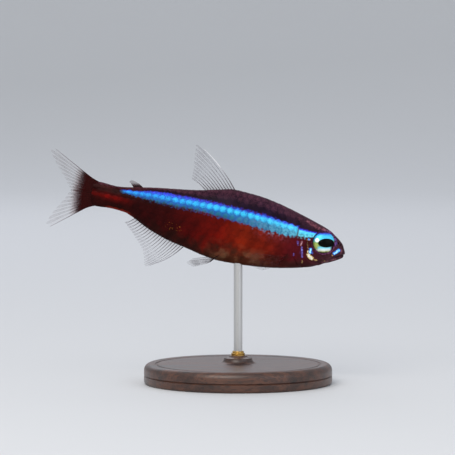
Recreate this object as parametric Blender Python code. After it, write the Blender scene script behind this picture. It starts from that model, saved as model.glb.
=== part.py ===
# Cardinal tetra at life size, nose down as it swims, on a plain turned stand.
# Lengths are in metres. The fish is modelled straight and level first: x runs forward, so that a
# place "behind" the snout tip has x = -behind, y is the fish's left and z is up. Its outlines are
# shares of the standard length. At the end its rear is curved to the left and the whole is pitched.
import math
from bisect import bisect_right

import bmesh
import bpy
from mathutils import Vector
from mathutils.bvhtree import BVHTree

for old in list(bpy.data.objects):
    bpy.data.objects.remove(old)

# Driving dimensions
STANDARD_LENGTH = 0.035  # snout tip to the end of the tail stalk
GAP = 0.0003  # left between neighbouring pieces
PITCH = math.radians(13)  # nose down
BEND_START = 0.42 * STANDARD_LENGTH  # behind this the body curves to its left
BEND_RADIUS = 0.085
CONTACT_SHARE = 0.40  # where along the belly the rod holds the fish
CONTACT_HEIGHT = 0.0165  # of the belly above the floor, at the rod
FIN_THICKNESS = 0.0005
FIN_TIP_THICKNESS = 0.0002
RAY_RIDGE = 0.00011  # a fin ray stands this proud of each face of its membrane
ROOT_BEND = 0.001  # along a ray of a paired fin, from its root until it has turned back

# Outlines of the body, as (share of the standard length behind the snout, share of it up or out)
BACK = (
    (0, -0.008), (0.007, 0.011), (0.015, 0.025), (0.029, 0.038), (0.056, 0.056), (0.088, 0.073),
    (0.13, 0.086), (0.20, 0.105), (0.295, 0.127), (0.38, 0.139), (0.475, 0.142), (0.54, 0.128),
    (0.615, 0.108), (0.695, 0.093), (0.775, 0.080), (0.85, 0.064), (0.90, 0.053), (0.945, 0.047),
    (1, 0.049),
)
BELLY = (
    (0, -0.008), (0.004, -0.018), (0.011, -0.029), (0.023, -0.038), (0.04, -0.048),
    (0.085, -0.071), (0.12, -0.088), (0.165, -0.102), (0.22, -0.116), (0.32, -0.134),
    (0.40, -0.142), (0.48, -0.146), (0.54, -0.140), (0.61, -0.127), (0.69, -0.113),
    (0.775, -0.088), (0.85, -0.056), (0.885, -0.045), (0.94, -0.043), (1, -0.049),
)
HALF_WIDTH = (
    (0, 0), (0.007, 0.015), (0.02, 0.027), (0.04, 0.037), (0.065, 0.044), (0.093, 0.048),
    (0.13, 0.053), (0.20, 0.060), (0.30, 0.064), (0.40, 0.063), (0.50, 0.058), (0.60, 0.050),
    (0.70, 0.041), (0.80, 0.031), (0.88, 0.0235), (0.94, 0.019), (1, 0.016),
)
WIDEST_LEVEL = ((0, -0.008), (0.04, 0), (0.2, 0), (0.35, 0.006), (0.6, 0.008), (0.9, 0.004), (1, 0))
SQUARENESS = ((0, 2.1), (0.1, 2.25), (0.3, 2.1), (0.6, 1.9), (1, 2.1))  # 2 is an ellipse
BODY_STATIONS = 44
BODY_SIDES = 28

# Cuts across the body, seen from the side
GILL_CLEFT = (
    (0.186, 0.14), (0.198, 0.085), (0.209, 0.055), (0.216, 0.02), (0.215, -0.02),
    (0.202, -0.055), (0.174, -0.088), (0.136, -0.125),
)
STALK_CUT = ((0.905, 0.10), (0.893, 0.04), (0.872, -0.02), (0.858, -0.09))

# Gill cover: its front edge bows forward behind the cheek, and its rear edge follows the cleft
COVER_FRONT = (
    (0.190, 0.050), (0.173, 0.041), (0.164, 0.020), (0.160, -0.010), (0.159, -0.042), (0.160, -0.066),
)
COVER_REAR = (
    (0.165, -0.080), (0.183, -0.066), (0.202, -0.038), (0.2085, -0.012), (0.2105, 0.012),
    (0.2065, 0.034), (0.201, 0.046),
)
COVER_THICKNESS = 0.0006
COVER_RISE = 0.0001

# Eye, a flattened ball in its socket
EYE_BEHIND, EYE_LEVEL, EYE_RADIUS = 0.0925, 0.0195, 0.043
EYE_DEPTH = 0.0007  # half of its thickness from side to side
EYE_BULGE = 0.00028  # beyond the side of the head

# Mouth, an oblique slit with a lip above and below it
MOUTH_FRONT, MOUTH_CORNER = (0, -0.0125), (0.036, -0.0275)
MOUTH_OPENING = 0.00013
LIP_RADIUS = 0.00026

NOSTRILS = ((0.0255, 0.0235, 0.00011), (0.0345, 0.0285, 0.00012))  # behind, level, hole radius
NOSTRIL_DEPTH = 0.00035

# Stand
BASE_RADIUS, BASE_THICKNESS, BASE_EDGE = 0.013, 0.0028, 0.0005
BOSS_RADIUS, BOSS_HEIGHT = 0.0018, 0.0011
ROD_RADIUS = 0.0006
TURNED_SIDES, ROD_SIDES = 56, 16


class Line:
    """A smooth line through stations. It runs on the square root of the share, so that it leaves
    the snout tip squarely and rounds it off, and it never swings past a station."""

    def __init__(self, stations):
        self.x = [math.sqrt(share) for share, _ in stations]
        self.y = [value for _, value in stations]
        rises = [
            (self.y[i + 1] - self.y[i]) / (self.x[i + 1] - self.x[i]) for i in range(len(self.x) - 1)
        ]
        inner = [
            2 * a * b / (a + b) if a * b > 0 else 0.0 for a, b in zip(rises, rises[1:])
        ]
        self.slope = [rises[0], *inner, rises[-1]]

    def at(self, share):
        x = math.sqrt(min(max(share, 0), 1))
        i = min(bisect_right(self.x, x), len(self.x) - 1) - 1
        width = self.x[i + 1] - self.x[i]
        t = (x - self.x[i]) / width
        return (
            (1 + 2 * t) * (1 - t) ** 2 * self.y[i]
            + t * (1 - t) ** 2 * width * self.slope[i]
            + t * t * (3 - 2 * t) * self.y[i + 1]
            + t * t * (t - 1) * width * self.slope[i + 1]
        )


back_line, belly_line, width_line = Line(BACK), Line(BELLY), Line(HALF_WIDTH)
level_line, squareness_line = Line(WIDEST_LEVEL), Line(SQUARENESS)


def sized(share):
    return share * STANDARD_LENGTH


def side_view(places):
    """Side-view places given as shares, in metres behind the snout and up."""
    return [(sized(behind), sized(up)) for behind, up in places]


def back_height(behind):
    return sized(back_line.at(behind / STANDARD_LENGTH))


def belly_height(behind):
    return sized(belly_line.at(behind / STANDARD_LENGTH))


def flank(behind, up):
    """Half width of the body at this place in the side view."""
    share = behind / STANDARD_LENGTH
    level, power = sized(level_line.at(share)), squareness_line.at(share)
    edge = back_height(behind) if up > level else belly_height(behind)
    reach = min(abs((up - level) / (edge - level)), 1) if edge != level else 1
    return sized(width_line.at(share)) * (1 - reach**power) ** (1 / power)


def body_ring(share):
    """Points round the body at one station, from the top down its left side and up its right."""
    top, bottom = back_line.at(share), belly_line.at(share)
    level, power = level_line.at(share), 2 / squareness_line.at(share)
    ring = []
    for i in range(BODY_SIDES):
        angle = math.tau * i / BODY_SIDES
        up, out = math.cos(angle), math.sin(angle)
        reach = (top - level) if up > 0 else (level - bottom)
        ring.append(
            Vector((
                -sized(share),
                sized(width_line.at(share)) * math.copysign(abs(out) ** power, out),
                sized(level + reach * math.copysign(abs(up) ** power, up)),
            ))
        )
    return ring


def curve_through(points, steps):
    """Points of a Catmull-Rom curve, with this many steps between each two given ones."""
    ends = [points[0], *points, points[-1]]
    found = []
    for a, b, c, d in zip(ends, ends[1:], ends[2:], ends[3:]):
        for i in range(steps):
            t = i / steps
            found.append(tuple(
                0.5 * (2 * q + (r - p) * t + (2 * p - 5 * q + 4 * r - s) * t * t
                       + (3 * q - p - 3 * r + s) * t**3)
                for p, q, r, s in zip(a, b, c, d)
            ))
    return [*found, tuple(points[-1])]


def surface_material(name, colour, roughness, metallic=0.0):
    material = bpy.data.materials.new(name)
    material.use_nodes = True
    shader = material.node_tree.nodes["Principled BSDF"]
    shader.inputs["Base Color"].default_value = (*colour, 1)
    shader.inputs["Roughness"].default_value = roughness
    shader.inputs["Metallic"].default_value = metallic
    return material


HEAD_SKIN = surface_material("head skin", (0.10, 0.022, 0.020), 0.35)
FLANK_SKIN = surface_material("flank skin", (0.26, 0.018, 0.010), 0.32)
STALK_SKIN = surface_material("tail stalk skin", (0.22, 0.010, 0.008), 0.35)
COVER_SKIN = surface_material("gill cover skin", (0.18, 0.030, 0.035), 0.28)
EYE_SURFACE = surface_material("eye", (0.04, 0.42, 0.62), 0.10)
FIN_SKIN = surface_material("fin membrane", (0.30, 0.26, 0.26), 0.30)
TAIL_FIN_SKIN = surface_material("tail fin membrane", (0.22, 0.08, 0.07), 0.30)
TURNED_WOOD = surface_material("dark turned wood", (0.055, 0.024, 0.012), 0.40)
ROD_STEEL = surface_material("stainless steel", (0.60, 0.60, 0.62), 0.30, 1.0)


def make_object(name, bm, material):
    """An object from an edit mesh, facing outwards and shaded smooth except at its sharp edges."""
    bmesh.ops.recalc_face_normals(bm, faces=bm.faces)
    if bm.calc_volume(signed=True) < 0:
        bmesh.ops.reverse_faces(bm, faces=bm.faces)
    mesh = bpy.data.meshes.new(name)
    bm.to_mesh(mesh)
    bm.free()
    mesh.shade_smooth()
    mesh.set_sharp_from_angle(angle=math.radians(40))
    if material:
        mesh.materials.append(material)
    made = bpy.data.objects.new(name, mesh)
    bpy.context.scene.collection.objects.link(made)
    return made


def as_cutter(made):
    made.hide_render = True
    made.display_type = "WIRE"
    return made


def join_faces(bm, first, second, closed=True):
    """Quads between two rows of vertices of the same length."""
    count = len(first)
    for i in range(count if closed else count - 1):
        j = (i + 1) % count
        bm.faces.new((first[i], first[j], second[j], second[i]))


def boolean(made, pieces, operation):
    """Applies one Boolean with these objects to made, then removes them."""
    group = bpy.data.collections.new(operation)
    for piece in pieces:
        group.objects.link(piece)
    modifier = made.modifiers.new(operation, "BOOLEAN")
    modifier.operation = operation
    modifier.operand_type = "COLLECTION"
    modifier.collection = group
    modifier.solver = "EXACT"
    evaluated = made.evaluated_get(bpy.context.evaluated_depsgraph_get())
    applied = bpy.data.meshes.new_from_object(evaluated)
    made.modifiers.remove(modifier)
    made.data = applied
    for piece in pieces:
        bpy.data.objects.remove(piece)
    bpy.data.collections.remove(group)


def prism(name, outline, half_span):
    """A closed side-view outline, extruded across the body to both sides."""
    bm = bmesh.new()
    near, far = (
        [bm.verts.new((-behind, side * half_span, up)) for behind, up in outline]
        for side in (-1, 1)
    )
    join_faces(bm, near, far)
    bm.faces.new(near)
    bm.faces.new(reversed(far))
    return as_cutter(make_object(name, bm, None))


def ribbon_outline(line, width):
    """The outline of a side-view line that has been given a width."""
    sides = ([], [])
    for i, point in enumerate(line):
        before, after = line[max(i - 1, 0)], line[min(i + 1, len(line) - 1)]
        along = Vector((after[0] - before[0], after[1] - before[1])).normalized()
        for side, sign in zip(sides, (1, -1)):
            side.append((point[0] - sign * along.y * width / 2, point[1] + sign * along.x * width / 2))
    return [*sides[0], *reversed(sides[1])]


def body_whole():
    """The body from snout to tail stalk, lofted through its rings."""
    bm = bmesh.new()
    snout = bm.verts.new((0, 0, sized(BACK[0][1])))
    rings = [
        [bm.verts.new(point) for point in body_ring((i / BODY_STATIONS) ** 1.6)]
        for i in range(1, BODY_STATIONS + 1)
    ]
    for i, vertex in enumerate(rings[0]):
        bm.faces.new((snout, vertex, rings[0][(i + 1) % BODY_SIDES]))
    for first, second in zip(rings, rings[1:]):
        join_faces(bm, first, second)
    bm.faces.new(rings[-1])
    return make_object("body", bm, FLANK_SKIN)


def mouth_level(share):
    """Height of the mouth's slit, as a share, at this share behind the snout."""
    along = (share - MOUTH_FRONT[0]) / (MOUTH_CORNER[0] - MOUTH_FRONT[0])
    return MOUTH_FRONT[1] + along * (MOUTH_CORNER[1] - MOUTH_FRONT[1])


def lips(steps=7, sides=8):
    """One tapered roll of flesh along the mouth's edge, from corner to corner round the front."""
    places = []
    for i in range(-steps, steps + 1):
        share = MOUTH_CORNER[0] * (abs(i) / steps) ** 1.5
        behind, up = sized(share), sized(mouth_level(share))
        places.append(Vector((-behind, math.copysign(flank(behind, up), i), up)))
    bm = bmesh.new()
    rings = []
    for i, place in enumerate(places):
        along = (places[min(i + 1, 2 * steps)] - places[max(i - 1, 0)]).normalized()
        out = along.cross(Vector((0, 0, 1))).normalized()
        up = out.cross(along)
        from_end = min(i, 2 * steps - i) / steps
        radius = LIP_RADIUS * (0.45 + 0.55 * math.sin(from_end * math.pi / 2))
        centre = place - 0.35 * radius * out
        rings.append([
            bm.verts.new(centre + radius * (math.cos(a) * out + math.sin(a) * up))
            for a in (math.tau * k / sides for k in range(sides))
        ])
    for first, second in zip(rings, rings[1:]):
        join_faces(bm, first, second)
    bm.faces.new(rings[0])
    bm.faces.new(reversed(rings[-1]))
    return make_object("lips", bm, FLANK_SKIN)


def mouth_cutter():
    """A thin slit from in front of the snout to the corners of the mouth."""
    ahead = -0.02
    line = [(sized(ahead), sized(mouth_level(ahead))), tuple(map(sized, MOUTH_CORNER))]
    return prism("mouth slit", ribbon_outline(line, MOUTH_OPENING), STANDARD_LENGTH / 10)


def ball(name, centre, radii, material, rings=12, segments=28):
    """A flattened ball whose poles face left and right."""
    bm = bmesh.new()
    bmesh.ops.create_uvsphere(bm, u_segments=segments, v_segments=rings, radius=1)
    for vertex in bm.verts:
        x, y, z = vertex.co
        vertex.co = centre + Vector((x * radii[0], z * radii[1], -y * radii[2]))
    return make_object(name, bm, material)


def eye_centre(side):
    behind, up = sized(EYE_BEHIND), sized(EYE_LEVEL)
    out = flank(behind, up) + EYE_BULGE - EYE_DEPTH
    return Vector((-behind, side * out, up))


def eye(name, side, grow=0.0, material=None):
    radius = sized(EYE_RADIUS) + grow
    return ball(name, eye_centre(side), (radius, EYE_DEPTH + grow, radius), material)


def nostril_cutter(behind, up, radius, side):
    """A short rod that sinks a round nostril into the side of the snout."""
    behind, up = sized(behind), sized(up)
    surface = Vector((-behind, side * flank(behind, up), up))
    inwards = (Vector((surface.x - 0.0005, 0, 0)) - surface).normalized()
    bm = bmesh.new()
    bmesh.ops.create_cone(bm, cap_ends=True, segments=8, radius1=radius, radius2=radius,
                          depth=2 * NOSTRIL_DEPTH)
    bm.transform(inwards.to_track_quat("Z", "Y").to_matrix().to_4x4())
    bmesh.ops.translate(bm, verts=bm.verts, vec=surface)
    return as_cutter(make_object("nostril", bm, None))


def cover_outline(grow=0.0):
    """Outline of the gill cover in the side view, grown outwards from its middle."""
    line = curve_through(side_view([*COVER_FRONT, *COVER_REAR, COVER_FRONT[0]]), 2)[:-1]
    middle = Vector((sum(p[0] for p in line), sum(p[1] for p in line))) / len(line)
    return middle, [Vector(p) + (Vector(p) - middle).normalized() * grow for p in line]


def flank_plate(name, side, grow, rise, depth, material, rings=3):
    """A plate that follows the flank from rise above its surface to depth below it."""
    middle, outline = cover_outline(grow)
    bm = bmesh.new()
    faces = []
    for offset in (rise, -depth):
        def place(point):
            return bm.verts.new((-point[0], side * (flank(*point) + offset), point[1]))

        centre = place(middle)
        loops = [
            [place(middle.lerp(point, k / rings)) for point in outline] for k in range(1, rings + 1)
        ]
        for i, vertex in enumerate(loops[0]):
            bm.faces.new((centre, vertex, loops[0][(i + 1) % len(outline)]))
        for first, second in zip(loops, loops[1:]):
            join_faces(bm, first, second)
        faces.append(loops[-1])
    join_faces(bm, *faces)
    return make_object(name, bm, material)


def split_body(whole):
    """Parts the cut body into its separate solids, ordered from the snout back."""
    bm = bmesh.new()
    bm.from_mesh(whole.data)
    left = set(bm.verts)
    groups = []
    while left:
        stack, group = [left.pop()], []
        while stack:
            vertex = stack.pop()
            group.append(vertex)
            for edge in vertex.link_edges:
                other = edge.other_vert(vertex)
                if other in left:
                    left.remove(other)
                    stack.append(other)
        groups.append(group)
    groups = sorted(groups, key=len)[-len(BODY_NODES):]
    groups.sort(key=lambda group: -sum(v.co.x for v in group) / len(group))
    for (name, material), group in zip(BODY_NODES, groups):
        piece = bmesh.new()
        copies = {v: piece.verts.new(v.co) for v in group}
        for face in {face for v in group for face in v.link_faces}:
            piece.faces.new([copies[v] for v in face.verts])
        make_object(name, piece, material)
    bm.free()
    bpy.data.objects.remove(whole)


BODY_NODES = (("head", HEAD_SKIN), ("torso", FLANK_SKIN), ("tail_stalk", STALK_SKIN))
SIDES = (("left", 1), ("right", -1))


def body():
    """Head, torso and tail stalk as one form, parted by thin cuts, with gill covers and eyes."""
    whole = body_whole()
    boolean(whole, [lips()], "UNION")
    half_span = STANDARD_LENGTH / 8
    cutters = [
        prism("gill cleft", ribbon_outline(curve_through(side_view(GILL_CLEFT), 3), GAP), half_span),
        prism("stalk cut", ribbon_outline(curve_through(side_view(STALK_CUT), 2), GAP), half_span),
        mouth_cutter(),
    ]
    for _, side in SIDES:
        cutters.append(eye("socket", side, GAP))
        cutters.append(
            flank_plate("cover bed", side, GAP, 2 * GAP, COVER_THICKNESS + GAP, None)
        )
        cutters.extend(nostril_cutter(*nostril, side) for nostril in NOSTRILS)
    boolean(whole, cutters, "DIFFERENCE")
    split_body(whole)
    for word, side in SIDES:
        eye(f"eye_{word}", side, material=EYE_SURFACE)
        flank_plate(f"gill_cover_{word}", side, 0, COVER_RISE, COVER_THICKNESS, COVER_SKIN)


def heading(degrees, splay=0.0):
    """A unit vector towards the tail, raised by degrees and turned out to the left by splay."""
    rise, out = math.radians(degrees), math.radians(splay)
    return Vector((-math.cos(rise) * math.cos(out), math.cos(rise) * math.sin(out), math.sin(rise)))


def blend(stops, share):
    """Value between the stops (share, value), which may be numbers or vectors."""
    for (low, first), (high, second) in zip(stops, stops[1:]):
        if share <= high:
            return first + (second - first) * ((share - low) / (high - low))
    return stops[-1][1]


def ray(root, headings, length, rows):
    """Centre points of a fin ray, whose heading changes as it goes. Its rows are closest at the
    root, where it bends most."""
    points = [root]
    shares = [(row / rows) ** 1.3 for row in range(rows + 1)]
    for low, high in zip(shares, shares[1:]):
        step = blend(headings, (low + high) / 2).normalized() * length * (high - low)
        points.append(points[-1] + step)
    return points


def fin(name, rays, material, ridge=RAY_RIDGE, thickness=FIN_THICKNESS):
    """A fin as one closed membrane with its rays raised as ridges on both faces. Each face is
    split into the same triangles, and the margin dips a little between the rays."""
    columns = []
    for first, second in zip(rays, rays[1:]):
        between = [(a + b) / 2 for a, b in zip(first, second)]
        between[-1] = between[-1].lerp(between[-2], 0.35)
        columns.extend(((first, ridge), (between, 0.0)))
    columns.append((rays[-1], ridge))
    rows, count = len(rays[0]), len(columns)
    bm = bmesh.new()
    faces = ([], [])
    for i, (points, raised) in enumerate(columns):
        before, after = columns[max(i - 1, 0)][0], columns[min(i + 1, count - 1)][0]
        for row in range(rows):
            along = points[min(row + 1, rows - 1)] - points[max(row - 1, 0)]
            normal = (after[row] - before[row]).cross(along).normalized()
            share = row / (rows - 1)
            half = blend(((0, thickness), (0.75, thickness), (1, FIN_TIP_THICKNESS)), share) / 2
            half += raised * (1 - 0.8 * share)
            for face, sign in zip(faces, (1, -1)):
                face.append(bm.verts.new(points[row] + sign * half * normal))

    def quad(a, b, c, d):
        bm.faces.new((a, b, c))
        bm.faces.new((a, c, d))

    for i in range(count - 1):
        for row in range(rows - 1):
            k = i * rows + row
            for face in faces:
                quad(face[k], face[k + 1], face[k + rows + 1], face[k + rows])
    rim = [
        *range(rows),
        *(column * rows + rows - 1 for column in range(1, count)),
        *((count - 1) * rows + row for row in range(rows - 2, -1, -1)),
        *(column * rows for column in range(count - 2, 0, -1)),
    ]
    for a, b in zip(rim, [*rim[1:], rim[0]]):
        quad(faces[0][a], faces[0][b], faces[1][b], faces[1][a])
    return make_object(name, bm, material)


def edge_fin(name, front, rear, on_back, count, lengths, angles, curl, material, rows=5, **form):
    """A fin on the midline of the back or the belly. Its rays stand at angles to the body's axis
    and curl back towards their tips."""
    rays = []
    for i in range(count):
        share = i / (count - 1)
        behind = sized(front + (rear - front) * share)
        up = back_height(behind) + GAP if on_back else belly_height(behind) - GAP
        angle = blend(angles, share)
        turn = curl if on_back else -curl
        stops = ((0, heading(angle + turn)), (1, heading(angle - turn)))
        root = Vector((-behind, 0, up))
        rays.append(ray(root, stops, sized(blend(lengths, share)), rows))
    return fin(name, rays, material, **form)


def tail_fin(name, count, edge, inner, lengths, angles, side):
    """One lobe of the forked tail fin. Its rays leave the end of the stalk nearly level."""
    rays = []
    for i in range(count):
        share = i / (count - 1)
        up = sized(edge + (inner - edge) * share)
        up += side * GAP / 2 * share
        angle = blend(angles, share)
        stops = ((0, heading(angle * 0.5)), (0.25, heading(angle)), (1, heading(angle)))
        root = Vector((-STANDARD_LENGTH - GAP, 0, up))
        rays.append(ray(root, stops, sized(blend(lengths, share)), rows=7))
    return fin(name, rays, TAIL_FIN_SKIN)


def paired_fin(name, side, count, base, lengths, angles, splays, rows=8):
    """A fin on the flank. It leaves the body's surface squarely and turns back along it."""
    rays = []
    for i in range(count):
        share = i / (count - 1)
        behind, up = (sized(a + (b - a) * share) for a, b in zip(*base))
        step = STANDARD_LENGTH / 200
        across = Vector((0, flank(behind, up + step) - flank(behind, up - step), 2 * step))
        along = Vector((-2 * step, flank(behind + step, up) - flank(behind - step, up), 0))
        out = across.cross(along).normalized()
        out *= math.copysign(1, out.y)
        root = Vector((-behind, flank(behind, up), up)) + out * GAP
        back = heading(blend(angles, share), blend(splays, share))
        tip = heading(blend(angles, share), blend(splays, share) * 0.6)
        length = sized(blend(lengths, share))
        stops = ((0, out), (0.05, out), (ROOT_BEND / length, back), (1, tip))
        points = ray(root, stops, length, rows)
        rays.append([Vector((p.x, side * p.y, p.z)) for p in points])
    return fin(name, rays, FIN_SKIN)


def fins():
    edge_fin(
        "dorsal_fin", 0.487, 0.600, True, 11,
        lengths=((0, 0.190), (0.1, 0.215), (0.35, 0.166), (0.65, 0.112), (1, 0.060)),
        angles=((0, 39.5), (1, 27)), curl=9, material=FIN_SKIN, rows=6,
    )
    edge_fin(
        "adipose_fin", 0.846, 0.880, True, 4,
        lengths=((0, 0.045), (0.35, 0.044), (1, 0.028)),
        angles=((0, 18), (1, 34)), curl=12, material=FIN_SKIN, rows=4, ridge=0.0,
    )
    edge_fin(
        "anal_fin", 0.632, 0.846, False, 16,
        lengths=((0, 0.115), (0.07, 0.150), (0.16, 0.140), (0.45, 0.080), (0.75, 0.050), (1, 0.034)),
        angles=((0, -44), (0.3, -50), (1, -36)), curl=11, material=FIN_SKIN,
    )
    tail_fin(
        "tail_fin_upper", 9, 0.0455, 0, side=1,
        lengths=((0, 0.232), (0.12, 0.248), (0.35, 0.205), (0.7, 0.140), (1, 0.112)),
        angles=((0, 24), (0.5, 12), (1, -3)),
    )
    tail_fin(
        "tail_fin_lower", 8, -0.047, 0, side=-1,
        lengths=((0, 0.205), (0.13, 0.222), (0.35, 0.190), (0.7, 0.135), (1, 0.112)),
        angles=((0, -40), (0.5, -25), (1, -8)),
    )
    for word, side in SIDES:
        paired_fin(
            f"pectoral_fin_{word}", side, 8, ((0.226, -0.062), (0.243, -0.094)),
            lengths=((0, 0.150), (0.2, 0.170), (0.6, 0.140), (1, 0.085)),
            angles=((0, -4), (1, -26)), splays=((0, 24), (1, 20)),
        )
        paired_fin(
            f"pelvic_fin_{word}", side, 6, ((0.484, -0.122), (0.500, -0.1385)),
            lengths=((0, 0.118), (0.2, 0.128), (1, 0.085)),
            angles=((0, -18), (1, -27)), splays=((0, 17), (1, 7)),
        )


def bent(point):
    """Where a point of the straight fish lies once its rear is curved to its left along an arc."""
    turn = (-point.x - BEND_START) / BEND_RADIUS
    if turn <= 0:
        return point.copy()
    reach = BEND_RADIUS - point.y
    return Vector((
        -BEND_START - reach * math.sin(turn), BEND_RADIUS - reach * math.cos(turn), point.z,
    ))


def pose():
    """Curves every piece of the fish and carries them all on one pitched empty."""
    behind = sized(CONTACT_SHARE)
    contact = Vector((-behind, 0, belly_height(behind)))
    fish = bpy.data.objects.new("fish", None)
    bpy.context.scene.collection.objects.link(fish)
    fish.rotation_euler = (0, PITCH, 0)
    turned = fish.rotation_euler.to_matrix() @ contact
    fish.location = (-turned.x, 0, CONTACT_HEIGHT - turned.z)
    for piece in [o for o in bpy.context.scene.objects if o.type == "MESH"]:
        for vertex in piece.data.vertices:
            vertex.co = bent(vertex.co)
        piece.parent = fish
    bpy.context.view_layer.update()


def stand():
    """A turned base with a boss, and a rod whose top follows the belly just above it."""
    floor_radius = BASE_RADIUS - BASE_EDGE
    profile = (
        (0, 0), (floor_radius, 0), (BASE_RADIUS, BASE_EDGE), (BASE_RADIUS, BASE_THICKNESS - BASE_EDGE),
        (floor_radius, BASE_THICKNESS), (BOSS_RADIUS, BASE_THICKNESS),
        (BOSS_RADIUS * 0.85, BASE_THICKNESS + BOSS_HEIGHT * 0.7),
        (BOSS_RADIUS * 0.65, BASE_THICKNESS + BOSS_HEIGHT), (0, BASE_THICKNESS + BOSS_HEIGHT),
    )
    bm = bmesh.new()
    line = [bm.verts.new((radius, 0, up)) for radius, up in profile]
    edges = [bm.edges.new(pair) for pair in zip(line, line[1:])]
    bmesh.ops.spin(bm, geom=[*line, *edges], cent=(0, 0, 0), axis=(0, 0, 1),
                   angle=math.tau, steps=TURNED_SIDES, use_merge=True)
    bmesh.ops.remove_doubles(bm, verts=bm.verts, dist=1e-6)
    make_object("stand_base", bm, TURNED_WOOD)

    torso = bpy.data.objects["torso"]
    belly = BVHTree.FromPolygons(
        [torso.matrix_world @ v.co for v in torso.data.vertices],
        [tuple(face.vertices) for face in torso.data.polygons],
    )
    foot = BASE_THICKNESS + BOSS_HEIGHT + GAP
    bm = bmesh.new()
    ends = []
    for at_top in (False, True):
        ring = []
        for i in range(ROD_SIDES):
            angle = math.tau * i / ROD_SIDES
            place = Vector((ROD_RADIUS * math.cos(angle), ROD_RADIUS * math.sin(angle), foot))
            if at_top:
                place.z = belly.ray_cast(place, Vector((0, 0, 1)))[0].z - GAP
            ring.append(bm.verts.new(place))
        ends.append(ring)
    join_faces(bm, *ends)
    bm.faces.new(ends[0])
    middle = bm.verts.new((0, 0, CONTACT_HEIGHT - GAP))
    for i, vertex in enumerate(ends[1]):
        bm.faces.new((middle, vertex, ends[1][(i + 1) % ROD_SIDES]))
    make_object("stand_rod", bm, ROD_STEEL)


body()
fins()
pose()
stand()
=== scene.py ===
# A cardinal tetra at life size, swimming nose down on a small turned stand: its looks.
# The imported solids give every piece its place. Lengths are in metres.
import math

import bpy
import numpy as np
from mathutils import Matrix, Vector


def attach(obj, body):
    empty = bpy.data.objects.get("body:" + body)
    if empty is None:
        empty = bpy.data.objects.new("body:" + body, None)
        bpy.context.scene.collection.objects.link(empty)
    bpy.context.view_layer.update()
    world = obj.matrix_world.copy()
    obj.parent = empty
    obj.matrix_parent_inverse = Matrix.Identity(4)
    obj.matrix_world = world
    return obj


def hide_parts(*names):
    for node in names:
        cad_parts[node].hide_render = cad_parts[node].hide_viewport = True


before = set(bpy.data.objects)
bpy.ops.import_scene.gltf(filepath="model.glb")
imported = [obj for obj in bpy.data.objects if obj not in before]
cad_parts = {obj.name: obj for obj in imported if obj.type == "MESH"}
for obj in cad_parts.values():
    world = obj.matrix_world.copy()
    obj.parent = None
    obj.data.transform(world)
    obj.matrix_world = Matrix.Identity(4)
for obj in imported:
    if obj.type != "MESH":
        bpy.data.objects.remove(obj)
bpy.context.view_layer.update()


# Stand base: a disc of walnut, turned on a lathe and waxed. A fine line is cut round its side
# and another round its top, and a hollowed neck in the middle carries the rod's collar.
BASE_RADIUS, BASE_THICKNESS = 0.013, 0.0028
FOOT_ROUND, TOP_ROUND = 0.0004, 0.0009
SIDE_LINE, SIDE_LINE_DEPTH, SIDE_LINE_HALF = 0.00117, 0.00013, 0.00012  # height and half width
TOP_LINE = 0.0015  # inwards from the edge
NECK_FOOT_RADIUS, NECK_TOP_RADIUS, NECK_HEIGHT, NECK_HOLLOW = 0.0027, 0.0011, 0.0011, 0.00075


def colour(text):
    """An sRGB hex value as a linear colour with alpha."""
    parts = [int(text[i:i + 2], 16) / 255 for i in (1, 3, 5)]
    return tuple(p / 12.92 if p <= 0.04045 else ((p + 0.055) / 1.055) ** 2.4 for p in parts) + (1,)


def add_node(material, kind, *inputs, stops=(), **named):
    """Adds a node and gives its output, or a table of them by name where it has several. The
    inputs in use come in order, or by name with a capital: a value, a hex colour or an output to
    link. Settings are in small letters, a ramp's stops are (place, hex colour), and what a Mix
    node mixes are colours."""
    tree = material.node_tree
    made = tree.nodes.new("ShaderNode" + kind)
    if kind == "Mix":
        made.data_type = "RGBA"
    for name, value in named.items():
        if name[0].islower():
            setattr(made, name, value)
    given = list(zip([socket for socket in made.inputs if socket.enabled], inputs))
    given += [
        (made.inputs[name.replace("_", " ")], value) for name, value in named.items()
        if name[0].isupper()
    ]
    for socket, value in given:
        if isinstance(value, bpy.types.NodeSocket):
            tree.links.new(value, socket)
        else:
            socket.default_value = colour(value) if isinstance(value, str) else value
    for i, (place, text) in enumerate(stops):
        elements = made.color_ramp.elements
        element = elements[i] if i < 2 else elements.new(place)
        element.position = place
        element.color = colour(text)
    found = {socket.name: socket for socket in made.outputs if socket.enabled}
    return found if len(found) > 1 else next(iter(found.values()))


SOFTLY = {"interpolation_type": "SMOOTHSTEP"}


def new_material(name, **values):
    """A material with one Principled shader, these values on its sockets, and its shader."""
    material = bpy.data.materials.new(name)
    material.use_nodes = True
    shader = material.node_tree.nodes["Principled BSDF"]
    for key, value in values.items():
        socket = shader.inputs[key.replace("_", " ")]
        socket.default_value = colour(value) if isinstance(value, str) else value
    return material, shader


def feed(material, shader, **outputs):
    """Links outputs to the shader's sockets of these names."""
    for key, output in outputs.items():
        material.node_tree.links.new(output, shader.inputs[key.replace("_", " ")])


def hold(piece, slot, *nodes):
    """Puts a finished piece on the one body, in place of these CAD nodes."""
    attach(piece, "root")
    if nodes:
        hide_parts(*nodes)


def new_piece(name, material):
    """Takes up the primitive that was just added, with its place put into its mesh."""
    bpy.ops.object.transform_apply()
    piece = bpy.context.object
    piece.name = piece.data.name = name
    piece.data.materials.append(material)
    return piece


def face_outwards(piece):
    """Turns all faces of a closed piece outwards."""
    bpy.context.view_layer.objects.active = piece
    bpy.ops.object.mode_set(mode="EDIT")
    bpy.ops.mesh.select_all(action="SELECT")
    bpy.ops.mesh.normals_make_consistent(inside=False)
    bpy.ops.object.mode_set(mode="OBJECT")


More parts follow.
